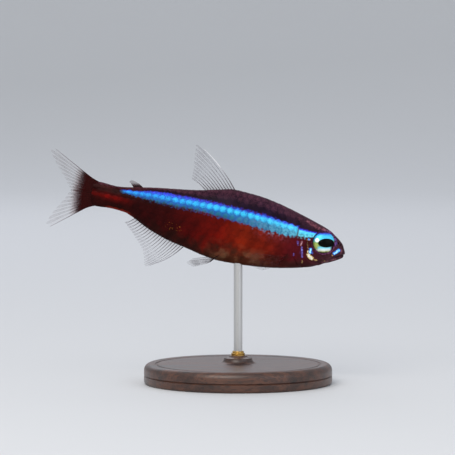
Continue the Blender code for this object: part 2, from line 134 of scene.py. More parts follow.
def turned(name, profile, sides, material):
    """A piece turned about the stand's axis: a disc at the first (radius, height) of the profile,
    whose face is extruded from each place to the next."""
    bpy.ops.mesh.primitive_circle_add(
        vertices=sides, radius=profile[0][0], fill_type="NGON", location=(0, 0, profile[0][1])
    )
    piece = new_piece(name, material)
    bpy.ops.object.mode_set(mode="EDIT")
    bpy.ops.mesh.select_all(action="SELECT")
    for (radius, height), (wider, higher) in zip(profile, profile[1:]):
        bpy.ops.mesh.extrude_region_move(
            TRANSFORM_OT_translate={"value": (0, 0, higher - height)}
        )
        bpy.ops.transform.resize(
            value=(wider / radius, wider / radius, 1), center_override=(0, 0, higher)
        )
    bpy.ops.object.mode_set(mode="OBJECT")
    face_outwards(piece)
    bpy.ops.object.shade_smooth_by_angle(angle=math.radians(35))
    return piece


def arc(centre_radius, centre_height, radius, first, last, steps):
    """Places (radius, height) on an arc in the profile, from one angle in degrees to another."""
    angles = [math.radians(first + (last - first) * i / steps) for i in range(steps + 1)]
    return [
        (centre_radius + radius * math.cos(a), centre_height + radius * math.sin(a)) for a in angles
    ]


# Walnut with a wax finish: dark pores along the grain and a soft sheen.
walnut, shader = new_material("walnut_waxed", Coat_Weight=0.3, Coat_Roughness=0.25)
place = add_node(walnut, "TexCoord")["Object"]
# Growth rings lie about 1.2 mm apart and run along the board. Pores are 0.1 mm wide and 1 mm long.
along_grain = add_node(walnut, "Mapping", Vector=place, Scale=(60, 800, 800))
rings = add_node(walnut, "TexNoise", Vector=along_grain, Scale=1, Detail=5)["Fac"]
rings_colour = add_node(
    walnut, "ValToRGB", rings,
    stops=((0.30, "#24130C"), (0.46, "#42261A"), (0.58, "#583423"), (0.74, "#331C12")),
)["Color"]
along_pores = add_node(walnut, "Mapping", Vector=place, Scale=(900, 7000, 7000))
pores = add_node(walnut, "TexNoise", Vector=along_pores, Scale=1, Detail=2)["Fac"]
pore_shade = add_node(walnut, "MapRange", pores, 0.36, 0.50, 0.4, 1.0)
grain = add_node(
    walnut, "Mix", 1.0, rings_colour, pore_shade, blend_type="MULTIPLY"
)
sheen = add_node(walnut, "MapRange", rings, 0.0, 1.0, 0.34, 0.52)
pore_relief = add_node(walnut, "Bump", Height=pore_shade, Strength=0.3, Distance=0.00004)
feed(walnut, shader, Base_Color=grain, Roughness=sheen, Normal=pore_relief)

side_top, neck_top = BASE_THICKNESS - TOP_ROUND, BASE_THICKNESS + NECK_HEIGHT
top_line = ((0, 0.0001), (0.00008, 0.0002), (0.00026, 0.0002), (0.00034, 0.0001))  # across, deep
base_profile = [
    *arc(BASE_RADIUS - FOOT_ROUND, FOOT_ROUND, FOOT_ROUND, -90, 0, 5),
    (BASE_RADIUS, SIDE_LINE - SIDE_LINE_HALF), (BASE_RADIUS - SIDE_LINE_DEPTH, SIDE_LINE),
    (BASE_RADIUS, SIDE_LINE + SIDE_LINE_HALF),
    *arc(BASE_RADIUS - TOP_ROUND, side_top, TOP_ROUND, 0, 80, 9),
    *((BASE_RADIUS - TOP_LINE - across, BASE_THICKNESS - deep) for across, deep in top_line),
    (BASE_RADIUS - 0.0045, BASE_THICKNESS - 0.00002), (BASE_RADIUS * 0.4, BASE_THICKNESS),
    (NECK_FOOT_RADIUS, BASE_THICKNESS),
    *arc(NECK_FOOT_RADIUS, BASE_THICKNESS + NECK_HOLLOW, NECK_HOLLOW, 255, 180, 7),
    (NECK_TOP_RADIUS + 0.00025, neck_top - 0.0002), (NECK_TOP_RADIUS + 0.00012, neck_top - 0.00005),
    (NECK_TOP_RADIUS - 0.0001, neck_top), (0.0005, neck_top),
]
hold(turned("base_turned", base_profile, 144, walnut), "dark_turned_wood", "stand_base")


# Rod: drawn stainless steel, 1.2 mm thick, satin from fine abrasive drawn along it. A small
# turned brass collar seats it in the base, and its top end sits in the fish's belly.
ROD_RADIUS = 0.0006
ROD_FOOT = neck_top
CONTACT_HEIGHT = 0.0165
COLLAR_RADIUS, COLLAR_HEIGHT = 0.00095, 0.0006

# Satin stainless steel: bright, with fine lines about 0.1 mm apart along the rod.
steel, shader = new_material("stainless_satin", Metallic=1.0, Base_Color="#C9C8C6")
place = add_node(steel, "TexCoord")["Object"]
drawn = add_node(steel, "Mapping", Vector=place, Scale=(9000, 9000, 260))
lines = add_node(steel, "TexNoise", Vector=drawn, Scale=1, Detail=3)["Fac"]
satin = add_node(steel, "MapRange", lines, 0.0, 1.0, 0.22, 0.42)
line_relief = add_node(steel, "Bump", Height=lines, Strength=0.15, Distance=0.00002)
feed(steel, shader, Roughness=satin, Normal=line_relief)

rod_profile = [
    (ROD_RADIUS, ROD_FOOT - 0.0004), (ROD_RADIUS, ROD_FOOT + 0.004), (ROD_RADIUS, 0.012),
    (ROD_RADIUS, CONTACT_HEIGHT + 0.0007), (ROD_RADIUS * 0.5, CONTACT_HEIGHT + 0.0008),
]
hold(turned("rod_drawn", rod_profile, 32, steel), "stainless_steel", "stand_rod")

# Brass, turned and left to tone down: warm, with clouds of darker tone about 0.5 mm across.
brass, shader = new_material("brass_turned", Metallic=1.0, Base_Color="#C8A35A")
place = add_node(brass, "TexCoord")["Object"]
tone = add_node(brass, "TexNoise", Vector=place, Scale=1800, Detail=4)["Fac"]
toned = add_node(
    brass, "ValToRGB", tone, stops=((0.35, "#8F6C34"), (0.55, "#BF9850"), (0.7, "#D6B36C"))
)["Color"]
worn = add_node(brass, "MapRange", tone, 0.0, 1.0, 0.42, 0.22)
feed(brass, shader, Base_Color=toned, Roughness=worn)

collar_profile = [
    (COLLAR_RADIUS, ROD_FOOT - 0.0001), (COLLAR_RADIUS, ROD_FOOT + 0.0001),
    *arc(COLLAR_RADIUS - 0.00012, ROD_FOOT + 0.00022, 0.00012, -60, 80, 6),
    (COLLAR_RADIUS - 0.00016, ROD_FOOT + 0.00036),
    *arc(COLLAR_RADIUS - 0.00026, ROD_FOOT + COLLAR_HEIGHT - 0.0001, 0.0001, 0, 90, 4),
    (ROD_RADIUS * 0.9, ROD_FOOT + COLLAR_HEIGHT),
]
hold(turned("rod_collar", collar_profile, 48, brass), "stainless_steel")


# Skin: one soft hide over the head, gill covers, flanks and tail stalk. On the head it lies
# bare over thin plates of bone. Behind the gill opening it is hidden by the scales.
# Its outlines are shares of the standard length, as places (share behind the snout, share up
# or out). A ball's surface is carried onto them, and the folds are raised along its normals.
STANDARD_LENGTH = 0.035
SHARE_MM = STANDARD_LENGTH * 1000  # what a share of 1 is in mm
PITCH = math.radians(13)
BEND_START, BEND_RADIUS = 0.42 * STANDARD_LENGTH, 0.085
CONTACT_SHARE = 0.40
BACK = (
    (0, -0.008), (0.007, 0.011), (0.015, 0.025), (0.029, 0.038), (0.056, 0.056), (0.088, 0.073),
    (0.13, 0.086), (0.20, 0.105), (0.295, 0.127), (0.38, 0.139), (0.475, 0.142), (0.54, 0.128),
    (0.615, 0.108), (0.695, 0.093), (0.775, 0.080), (0.85, 0.064), (0.90, 0.053), (0.945, 0.047),
    (1, 0.049),
)
BELLY = (
    (0, -0.008), (0.004, -0.018), (0.011, -0.029), (0.023, -0.038), (0.04, -0.048),
    (0.085, -0.071), (0.12, -0.088), (0.165, -0.102), (0.22, -0.116), (0.32, -0.134),
    (0.40, -0.142), (0.48, -0.146), (0.54, -0.140), (0.61, -0.127), (0.69, -0.113),
    (0.775, -0.088), (0.85, -0.056), (0.885, -0.045), (0.94, -0.043), (1, -0.049),
)
HALF_WIDTH = (
    (0, 0), (0.007, 0.015), (0.02, 0.027), (0.04, 0.037), (0.065, 0.044), (0.093, 0.048),
    (0.13, 0.053), (0.20, 0.060), (0.30, 0.064), (0.40, 0.063), (0.50, 0.058), (0.60, 0.050),
    (0.70, 0.041), (0.80, 0.031), (0.88, 0.0235), (0.94, 0.019), (1, 0.016),
)
WIDEST_LEVEL = ((0, -0.008), (0.04, 0), (0.2, 0), (0.35, 0.006), (0.6, 0.008), (0.9, 0.004), (1, 0))
SQUARENESS = ((0, 2.1), (0.1, 2.25), (0.3, 2.1), (0.6, 1.9), (1, 2.1))
STRIPE_TOP = (
    (0, 0.04), (0.10, 0.048), (0.131, 0.0505), (0.196, 0.0525), (0.209, 0.0615), (0.281, 0.069),
    (0.364, 0.077), (0.445, 0.077), (0.526, 0.078), (0.607, 0.075), (0.687, 0.071), (0.767, 0.065),
    (0.869, 0.047), (0.93, 0.036), (1, 0.03),
)
STRIPE_FOOT = (
    (0, 0.02), (0.10, 0.031), (0.133, 0.031), (0.154, 0.0255), (0.196, 0.0215), (0.267, 0.013),
    (0.348, 0.016), (0.431, 0.024), (0.513, 0.0275), (0.596, 0.030), (0.676, 0.027), (0.757, 0.026),
    (0.863, 0.027), (0.93, 0.030), (1, 0.030),
)
EYE_BEHIND, EYE_LEVEL, EYE_RADIUS = 0.0925, 0.0195, 0.043
MOUTH_FRONT, MOUTH_CORNER = (0, -0.0125), (0.036, -0.0275)
NOSTRILS = ((0.0255, 0.0235, 0.11), (0.0345, 0.0285, 0.12))  # the last is the radius in mm
GILL_EDGE = (
    (0.191, 0.078), (0.198, 0.062), (0.202, 0.045), (0.205, 0.02), (0.208, -0.015), (0.204, -0.044),
    (0.186, -0.072), (0.160, -0.094), (0.128, -0.1045), (0.09, -0.10),
)
CHEEK_EDGE = (
    (0.166, 0.036), (0.160, 0.012), (0.158, -0.020), (0.154, -0.045), (0.140, -0.064),
    (0.112, -0.073), (0.080, -0.066),
)
UNDER_EYE_EDGE = (
    (0.146, 0.022), (0.146, -0.012), (0.136, -0.038), (0.112, -0.050), (0.080, -0.046),
    (0.052, -0.034),
)
JAW_EDGE = ((0.030, -0.030), (0.046, -0.042), (0.064, -0.058), (0.082, -0.069))
UPPER_THROAT_EDGE = ((0.098, -0.074), (0.130, -0.084), (0.160, -0.086))
LOWER_THROAT_EDGE = ((0.092, -0.080), (0.122, -0.092), (0.148, -0.097))

# Relief of the head, in mm.
GILL_STEP, GILL_FADE = 0.11, 1.3  # height of the gill cover's edge, and how far forward it reaches
GILL_SHADOW = 0.03  # depth of the narrow furrow behind it
PLATE_EDGES = (  # ridge: height and half width; furrow inside it: depth, half width and distance
    (CHEEK_EDGE, 0.06, 0.16, 0.05, 0.11, 0.22),
    (UNDER_EYE_EDGE, 0.035, 0.14, 0.03, 0.10, 0.18),
)
CREASES = (  # depth and half width
    (JAW_EDGE, 0.06, 0.10), (UPPER_THROAT_EDGE, 0.045, 0.09), (LOWER_THROAT_EDGE, 0.045, 0.09),
)
LIPS = (  # height at the snout's tip and behind it, height over the slit, half width
    (0.02, 0.09, 0.24, 0.16), (0.10, 0.08, -0.25, 0.17),
)
SLIT_DEPTH, SLIT_WIDTH = 0.19, 0.07
NOSTRIL_RIM, NOSTRIL_DEPTH = 0.035, 0.20
EYE_RIM, SOCKET_DEPTH = 0.04, 0.9


def line_through(stations):
    """A smooth line through stations, as a function of the share behind the snout. It runs on the
    square root of the share, so that it rounds off the snout, and never swings past a station."""
    x = np.sqrt([share for share, _ in stations])
    y = np.array([value for _, value in stations])
    rises = np.diff(y) / np.diff(x)
    before, after = rises[:-1], rises[1:]
    total = np.where(before + after == 0, 1, before + after)
    inner = np.where(before * after > 0, 2 * before * after / total, 0)
    slope = np.concatenate((rises[:1], inner, rises[-1:]))

    def at(share):
        root = np.sqrt(np.clip(share, 0, 1))
        i = np.clip(np.searchsorted(x, root, "right") - 1, 0, len(x) - 2)
        width = x[i + 1] - x[i]
        t = (root - x[i]) / width
        return (
            (1 + 2 * t) * (1 - t) ** 2 * y[i] + t * (1 - t) ** 2 * width * slope[i]
            + t * t * (3 - 2 * t) * y[i + 1] + t * t * (t - 1) * width * slope[i + 1]
        )

    return at


back, belly, half_width = line_through(BACK), line_through(BELLY), line_through(HALF_WIDTH)
widest_level, squareness = line_through(WIDEST_LEVEL), line_through(SQUARENESS)
stripe_top, stripe_foot = line_through(STRIPE_TOP), line_through(STRIPE_FOOT)


def smooth(low, high, value):
    """Rises smoothly from 0 at low to 1 at high."""
    t = np.clip((value - low) / (high - low), 0, 1)
    return t * t * (3 - 2 * t)


def within(value, begins, full, fades, ends):
    """1 between full and fades, and down smoothly to 0 at begins and ends."""
    return smooth(begins, full, value) * smooth(ends, fades, value)


def section_point(share, angle):
    """Places (forward, left, up) on the straight body, in metres. Angle 0 is the top of the
    section and a quarter turn is its left side."""
    level, power = widest_level(share), 2 / squareness(share)
    up, out = np.cos(angle), np.sin(angle)
    reach = np.where(up > 0, back(share) - level, level - belly(share))
    left = half_width(share) * np.sign(out) * np.abs(out) ** power
    rise = level + reach * np.sign(up) * np.abs(up) ** power
    return STANDARD_LENGTH * np.stack(np.broadcast_arrays(-share, left, rise), -1)


def section_normal(share, angle):
    """Outward normals of the straight body at those places."""
    step, turn = 0.004, 0.03
    along = section_point(np.minimum(share + step, 1), angle) - section_point(share - step, angle)
    around = section_point(share, angle + turn) - section_point(share, angle - turn)
    normal = np.cross(around, along)
    return normal / np.linalg.norm(normal, axis=-1, keepdims=True)


def flank(share, up):
    """Half width of the body at these side-view places, in metres. All are shares."""
    level = widest_level(share)
    edge = np.where(up > level, back(share), belly(share))
    reach = np.clip(np.abs(up - level) / np.maximum(np.abs(edge - level), 1e-5), 0, 1)
    power = squareness(share)
    return STANDARD_LENGTH * half_width(share) * (1 - reach**power) ** (1 / power)


def on_side(share, up, low=0.2, high=0.7):
    """0 near the outline of the side view, and 1 where the half width is more than high, in mm."""
    return smooth(low, high, flank(share, up) * 1000)


def posed(points):
    """Carries places on the straight fish to where they lie on the stand. The rear curves to the
    left, and the whole is pitched nose down about the place that the rod holds."""
    x, y, z = np.moveaxis(np.asarray(points, float), -1, 0)
    turn = np.maximum(-x - BEND_START, 0) / BEND_RADIUS
    reach = BEND_RADIUS - y
    bent_x = np.where(turn > 0, -BEND_START - reach * np.sin(turn), x)
    bent_y = np.where(turn > 0, BEND_RADIUS - reach * np.cos(turn), y)
    cos, sin = math.cos(PITCH), math.sin(PITCH)
    held_x = -CONTACT_SHARE * STANDARD_LENGTH
    held_z = float(belly(CONTACT_SHARE)) * STANDARD_LENGTH
    origin_x = -(held_x * cos + held_z * sin)
    origin_z = CONTACT_HEIGHT - (held_z * cos - held_x * sin)
    return np.stack(
        (bent_x * cos + z * sin + origin_x, bent_y, z * cos - bent_x * sin + origin_z), -1
    )


def curve_through(places, steps=6):
    """Places on a smooth curve through the given ones, with this many steps between each two."""
    ends = np.array([places[0], *places, places[-1]], float)
    t = np.linspace(0, 1, steps, endpoint=False)[:, None]
    found = [
        0.5 * (2 * b + (c - a) * t + (2 * a - 5 * b + 4 * c - d) * t**2
               + (3 * b - a - 3 * c + d) * t**3)
        for a, b, c, d in zip(ends, ends[1:], ends[2:], ends[3:])
    ]
    return np.concatenate((*found, ends[-1:]))


def from_line(places, share, up):
    """Distance in mm from side-view places to a line, and how far behind it they lie: negative on
    the side that is to the left of someone who walks along it."""
    curve = curve_through(places)
    nearest = np.full(share.shape, 1e9)
    behind = np.zeros(share.shape)
    for (x0, z0), (x1, z1) in zip(curve, curve[1:]):
        dx, dz = x1 - x0, z1 - z0
        t = np.clip(((share - x0) * dx + (up - z0) * dz) / (dx * dx + dz * dz), 0, 1)
        off_x, off_z = share - x0 - t * dx, up - z0 - t * dz
        distance = np.hypot(off_x, off_z)
        side = np.sign(off_z * dx - off_x * dz)
        closer = distance < nearest
        nearest = np.where(closer, distance, nearest)
        behind = np.where(closer, side * distance, behind)
    return nearest * SHARE_MM, behind * SHARE_MM


def groove(distance, width):
    """1 on a line and 0 away from it, with this half width."""
    return np.exp(-((distance / width) ** 2))


EYE_DEPTH = 0.70  # mm, half of the eyeball's thickness from side to side
EYE_BULGE = 0.28  # mm beyond the side of the head
EYE_TURN, EYE_LEAN = math.radians(7), math.radians(8)  # forward and up, as the head's side faces


def eye_ring_out(share, up):
    """How far out from the midplane the eyeball's widest ring lies, in mm."""
    middle = float(flank(np.array(EYE_BEHIND), np.array(EYE_LEVEL))) * 1000 + EYE_BULGE - EYE_DEPTH
    turned_out = (share - EYE_BEHIND) * math.tan(EYE_TURN) - (up - EYE_LEVEL) * math.tan(EYE_LEAN)
    return middle + SHARE_MM * turned_out


def from_eye(share, up):
    """Distance from the middle of the eye, in eye radii."""
    return np.hypot(share - EYE_BEHIND, up - EYE_LEVEL) / EYE_RADIUS


def above_mouth(share, up):
    """Height in mm over the slit of the mouth, or over its line carried on."""
    slope = (MOUTH_CORNER[1] - MOUTH_FRONT[1]) / MOUTH_CORNER[0]
    return (up - MOUTH_FRONT[1] - slope * share) * SHARE_MM


def head_relief(share, up):
    """How far the skin of the head stands out from the plain body, in mm."""
    # The gill cover's free edge stands over the shoulder, with a narrow shadow behind it.
    distance, behind = from_line(GILL_EDGE, share, up)
    inside = smooth(0.04, -0.04, behind)
    off_outline = on_side(share, up, 0.1, 0.9)
    relief = GILL_STEP * inside * off_outline * np.exp(-distance / GILL_FADE)
    relief -= GILL_SHADOW * off_outline * groove(behind - 0.10, 0.10)
    # The cheek plate ends in a raised ridge, and a thin bone rings the eye from below.
    for edge, height, width, depth, furrow, inwards in PLATE_EDGES:
        distance, behind = from_line(edge, share, up)
        relief += height * groove(distance, width) - depth * groove(behind + inwards, furrow)
    for edge, depth, width in CREASES:
        distance, _ = from_line(edge, share, up)
        relief -= depth * groove(distance, width)
    # Lips: a soft roll above and below the slit of the mouth.
    above = above_mouth(share, up)
    reach = smooth(MOUTH_CORNER[0] + 0.006, MOUTH_CORNER[0] - 0.006, share)
    past_tip = smooth(0.0, 0.014, share)
    for at_tip, behind_tip, height, width in LIPS:
        roll = at_tip + (behind_tip - at_tip) * past_tip
        relief += reach * roll * groove(above - height, width)
    relief -= reach * SLIT_DEPTH * groove(above, SLIT_WIDTH)
    # Nostrils: two small pits with a raised rim.
    for behind, level, radius in NOSTRILS:
        distance = np.hypot(share - behind, up - level) * SHARE_MM
        relief += NOSTRIL_RIM * groove(distance - radius * 1.5, 0.07)
        relief -= NOSTRIL_DEPTH * smooth(radius * 1.2, radius * 0.6, distance)
    # The rim round the eye meets the ball's widest ring, and the socket goes on behind it.
    ratio = from_eye(share, up)
    proud = eye_ring_out(share, up) - flank(share, up) * 1000
    relief += on_side(share, up) * EYE_RIM * groove(ratio - 1.10, 0.05)
    relief += smooth(1.22, 1.03, ratio) * np.clip(proud + 0.05, 0, 0.12)
    relief -= smooth(1.06, 0.99, ratio) * np.maximum(0.04 - proud, 0.08)
    return relief - SOCKET_DEPTH * smooth(0.985, 0.86, ratio)


def add_vectors(mesh, name, values):
    """Stores one vector for each vertex."""
    attribute = mesh.attributes.new(name, "FLOAT_VECTOR", "POINT")
    attribute.data.foreach_set("vector", np.ascontiguousarray(values, np.float32).ravel())


def belly_to_back(share, up):
    """0 at the belly, 1 at the stripe's foot, 2 at its top and 3 at the back."""
    low, high = stripe_foot(share), stripe_top(share)
    under = (up - belly(share)) / np.maximum(low - belly(share), 0.004)
    inside = 1 + (up - low) / np.maximum(high - low, 0.002)
    over = np.maximum(2 + (up - high) / np.maximum(back(share) - high, 0.004), 2)
    return np.where(up < low, np.minimum(under, 1), np.where(up < high, inside, over))


# Cells with light-reflecting plates mark the head. Each mark is a line in the side view, a half
# width in mm and a strength: bright silver and gold, electric blue, dull violet, and rose. The
# first three rose marks, along the top of the head, are painted highlights.
SILVER_MARKS = (
    (((0.1575, 0.0175), (0.149, 0.019)), 0.16, 0.80),
    (((0.155, 0.006), (0.151, -0.006), (0.147, -0.018)), 0.20, 0.38),
    (((0.1455, -0.025), (0.145, -0.034), (0.141, -0.041)), 0.16, 0.72),
    (((0.141, -0.040), (0.134, -0.0465), (0.125, -0.0505)), 0.27, 1.22),
    (((0.123, -0.052), (0.113, -0.0545), (0.104, -0.0545)), 0.14, 0.66),
    (((0.078, -0.050), (0.072, -0.0505)), 0.17, 0.48),
    (((0.1585, -0.069), (0.158, -0.075)), 0.16, 0.46),
    (((0.051, -0.022), (0.047, -0.0235)), 0.15, 0.52),
)
BLUE_MARKS = (
    (((0.1375, -0.018), (0.1355, -0.0285)), 0.24, 1.15),
    (((0.0415, -0.012), (0.034, -0.0045), (0.0275, 0.002)), 0.24, 1.2),
    (((0.155, 0.019), (0.151, 0.0195)), 0.14, 0.80),
    (((0.127, -0.026), (0.126, -0.034)), 0.13, 0.50),
)
VIOLET_MARKS = (
    (((0.1735, -0.016), (0.1675, -0.034), (0.1625, -0.054)), 0.15, 0.80),
    (((0.193, 0.003), (0.190, -0.010)), 0.20, 0.52),
    (((0.176, -0.034), (0.174, -0.046)), 0.12, 0.42),
    (((0.199, -0.048), (0.199, -0.055)), 0.18, 0.50),
    (((0.051, 0.037), (0.046, 0.022)), 0.38, 0.52),
    (((0.026, 0.002), (0.021, 0.006)), 0.18, 0.85),
)
ROSE_MARKS_AND_HIGHLIGHTS = (
    # These first three lie along the top of the head and are painted highlights where it faces the
    # light.
    (((0.176, 0.086), (0.150, 0.079)), 0.28, 0.56),
    (((0.146, 0.078), (0.122, 0.068)), 0.30, 0.60),
    (((0.106, 0.069), (0.090, 0.062)), 0.26, 0.74),
    (((0.1775, 0.003), (0.178, -0.009)), 0.17, 1.05),
    (((0.022, 0.008), (0.015, -0.003)), 0.26, 0.60),
    (((0.060, -0.052), (0.078, -0.058)), 0.30, 0.56),
    (((0.046, -0.041), (0.032, -0.035)), 0.26, 0.60),
    (((0.012, -0.020), (0.018, -0.027)), 0.24, 0.55),
)


def mark_amount(marks, share, up):
    """How much of one kind of mark the skin of the head carries here."""
    amount = np.zeros(share.shape)
    for places, width, strength in marks:
        distance, _ = from_line(places, share, up)
        amount = np.maximum(amount, strength * groove(distance, width))
    return amount * on_side(share, up, 0.25, 0.8)


def eye_fold_amount(share, up):
    """The thin fold of skin that holds the eyeball."""
    return groove(from_eye(share, up) - 1.03, 0.05) * on_side(share, up)


def pit_shade_amount(share, up):
    """Painted shade in the slit of the mouth, the nostrils and the eye's socket."""
    reach = smooth(MOUTH_CORNER[0] + 0.004, MOUTH_CORNER[0] - 0.004, share)
    amount = 0.8 * groove(above_mouth(share, up), SLIT_WIDTH) * reach
    for behind, level, radius in NOSTRILS:
        distance = np.hypot(share - behind, up - level) * SHARE_MM
        amount = np.maximum(amount, 0.9 * smooth(radius * 1.25, radius * 0.7, distance))
    return np.maximum(amount, smooth(1.0, 0.96, from_eye(share, up)))


# Zones that the skin's colours follow: where each begins, is full, fades and ends along the body,
# and the same from the belly to the back, where 1 is the stripe's foot, 2 its top and 3 the back.
# Pale gut wall shows low on the belly, pink skin under the front of the stripe, and gold cells
# over the anal fin. The stripe is dull low at its front and breaks at the gill opening. The stalk
# has a bright red core and an orange line along its lower edge, and a tan painted highlight lies
# along its upper edge.
PALE_GUT = (0.26, 0.34, 0.46, 0.56), (-2, -1, 0.22, 0.55)
PINK_SKIN = (0.21, 0.26, 0.30, 0.40), (0.70, 0.96, 1.20, 1.60)
GOLD_CELLS = (0.63, 0.65, 0.70, 0.715), (0.28, 0.36, 0.50, 0.58)
DULL_STRIPE = (0.207, 0.222, 0.36, 0.50), (-2, -1, 1.36, 1.76)
ORANGE_LINE = (0.83, 0.87, 0.94, 0.98), (-2, -1, 0.02, 0.16)
# A tan painted highlight along the stalk's upper edge, where it faces the light.
STALK_TOP_HIGHLIGHT = (0.66, 0.76, 0.88, 0.95), (2.70, 2.92, 8, 9)
STRIPE_RUN = (0.122, 0.130, 0.895, 0.918)
STRIPE_BREAK = 0.2010
CORE_RUN, CORE_LEVEL, CORE_HALF = (0.84, 0.94, 0.93, 1.07), 0.001, 0.011


def colour_zones(share, up):
    """Nine amounts: of the zones, of the stripe, and of the back's colours, which begin at the
    stripe's top and more softly on the head."""
    level = belly_to_back(share, up)
    pale, pink, gold, dull, under_line, top_highlight_zone = (
        within(share, *along) * within(level, *over) for along, over in
        (PALE_GUT, PINK_SKIN, GOLD_CELLS, DULL_STRIPE, ORANGE_LINE, STALK_TOP_HIGHLIGHT)
    )
    unbroken = 0.15 + 0.85 * smooth(0.0010, 0.0040, np.abs(share - STRIPE_BREAK))
    reach = within(share, *STRIPE_RUN) * unbroken
    soft = 0.06 + 0.6 * smooth(0.14, 0.10, share)
    upper = smooth(2 - soft, 2 + soft, level)
    core = within(share, *CORE_RUN) * groove(up - CORE_LEVEL, CORE_HALF)
    return (pale, pink, gold), (reach, dull, upper), (core, under_line, top_highlight_zone)


def store_places(mesh, share, up, level_share, level_up):
    """Stores where each vertex lies on the body, and the zones of colour there."""
    level_share = np.clip(level_share, 0, 1)
    level = belly_to_back(level_share, level_up) / 3
    add_vectors(mesh, "body_place", np.stack((share, up, level), -1))
    zones = colour_zones(level_share, level_up)
    for name, amounts in zip(("skin_zones", "stripe_zones", "stalk_zones"), zones):
        add_vectors(mesh, name, np.stack(amounts, -1))


# Living skin: wet, dark violet on the back, red below, with a stripe of cells that reflect blue
# from stacked plates. Its gloss is as faint as under water. The same finish colours the scales.
hide, shader = new_material(
    "wet_fish_skin", Coat_Weight=0.04, Coat_Roughness=0.20, Coat_IOR=1.36, Specular_IOR_Level=0.03
)
place = add_node(hide, "TexCoord")["Object"]
body_place, scale_look, head_marks, rose_fold_and_pit_shade, skin_zones, stripe_zones, stalk_zones = (
    add_node(hide, "Attribute", attribute_name=name)["Vector"] for name in (
        "body_place", "scale_look", "head_marks", "rose_fold_and_pit_shade", "skin_zones", "stripe_zones",
        "stalk_zones",
    )
)
body_share, _, body_level = add_node(hide, "SeparateXYZ", body_place).values()
scale_random, scale_rim, scale_on = add_node(hide, "SeparateXYZ", scale_look).values()
silver, blue, violet = add_node(hide, "SeparateXYZ", head_marks).values()
rose, eye_fold, painted_pit_shade = add_node(hide, "SeparateXYZ", rose_fold_and_pit_shade).values()
pale_gut, pink_skin, gold_cells = add_node(hide, "SeparateXYZ", skin_zones).values()
stripe_reach, stripe_dull, is_above = add_node(hide, "SeparateXYZ", stripe_zones).values()
red_core, orange_line, painted_top_highlight = add_node(hide, "SeparateXYZ", stalk_zones).values()
level = add_node(hide, "Math", body_level, 3.0, operation="MULTIPLY")

# Clouds of pigment are about 1.5 mm across, the reflecting plates lie in groups 0.3 mm and
# 0.15 mm across, and single pigment cells are 0.07 mm. Blocks of muscle show as slanting streaks
# about 1 mm apart.
clouds, plates, grit, cells = (
    add_node(hide, "TexNoise", Vector=place, Scale=scale, Detail=3)["Fac"]
    for scale in (650, 3300, 6200, 14000)
)
muscle = add_node(
    hide, "Mapping", Vector=body_place, Rotation=(0, 0, math.radians(24)), Scale=(1 / 35, 1 / 7, 1),
    vector_type="TEXTURE",
)
streaks = add_node(hide, "TexNoise", Vector=muscle, Scale=1, Detail=3)["Fac"]

# Pigments from snout to tail, in four bands from the back to the belly.
back_colour = add_node(hide, "ValToRGB", body_share, stops=(
    (0.0, "#3E2A3A"), (0.12, "#3A222C"), (0.3, "#321C2C"), (0.7, "#2C1620"), (0.88, "#300E10"),
    (1.0, "#260807"),
))["Color"]
over_stripe = add_node(hide, "ValToRGB", body_share, stops=(
    (0.0, "#382637"), (0.13, "#281622"), (0.3, "#1C1022"), (0.75, "#20101F"), (0.91, "#340A0D"),
    (1.0, "#2A0807"),
))["Color"]
side_colour = add_node(hide, "ValToRGB", body_share, stops=(
    (0.0, "#3A232A"), (0.10, "#38161D"), (0.20, "#4C0C15"), (0.30, "#64160A"), (0.40, "#741C08"),
    (0.50, "#5E0B04"), (0.62, "#400504"), (0.72, "#2E0404"), (0.88, "#260404"), (1.0, "#260504"),
))["Color"]
belly_colour = add_node(hide, "ValToRGB", body_share, stops=(
    (0.0, "#3C262C"), (0.13, "#401C20"), (0.3, "#4A2218"), (0.42, "#4E281A"), (0.58, "#2E100B"),
    (0.84, "#220504"), (1.0, "#260604"),
))["Color"]
cloudy_level = add_node(hide, "Math", clouds, 0.9, level, operation="MULTIPLY_ADD")
low_side = add_node(hide, "MapRange", cloudy_level, 0.50, 0.92, **SOFTLY)
ground = add_node(hide, "Mix", low_side, belly_colour, side_colour)
high_back = add_node(hide, "MapRange", cloudy_level, 2.72, 3.40, **SOFTLY)
above = add_node(hide, "Mix", high_back, over_stripe, back_colour)
ground = add_node(hide, "Mix", is_above, ground, above)
streak_shade = add_node(hide, "MapRange", streaks, 0.28, 0.72, 0.74, 1.28)
cloud_shade = add_node(hide, "MapRange", clouds, 0.34, 0.66, 0.78, 1.24)
cloud_shade = add_node(hide, "Math", cloud_shade, streak_shade, operation="MULTIPLY")
ground = add_node(hide, "Mix", 1.0, ground, cloud_shade, blend_type="MULTIPLY")

# The tail stalk's red core and its edges. The tan along its upper edge is a painted highlight.
core_part = add_node(hide, "MapRange", streaks, 0.35, 0.6, 0.65, 1.0)
core_part = add_node(hide, "Math", red_core, core_part, operation="MULTIPLY")
top_highlight_part = add_node(hide, "Math", painted_top_highlight, 0.5, operation="MULTIPLY")

# Pale gut wall and pink skin show through in clouds.
cloud_part = add_node(hide, "MapRange", clouds, 0.44, 0.62, 0.0, 0.55, **SOFTLY)
gut_shown = add_node(hide, "Math", pale_gut, cloud_part, operation="MULTIPLY")
plate_part = add_node(hide, "MapRange", plates, 0.40, 0.64, 0.0, 0.38)
pink_shown = add_node(hide, "Math", pink_skin, plate_part, operation="MULTIPLY")

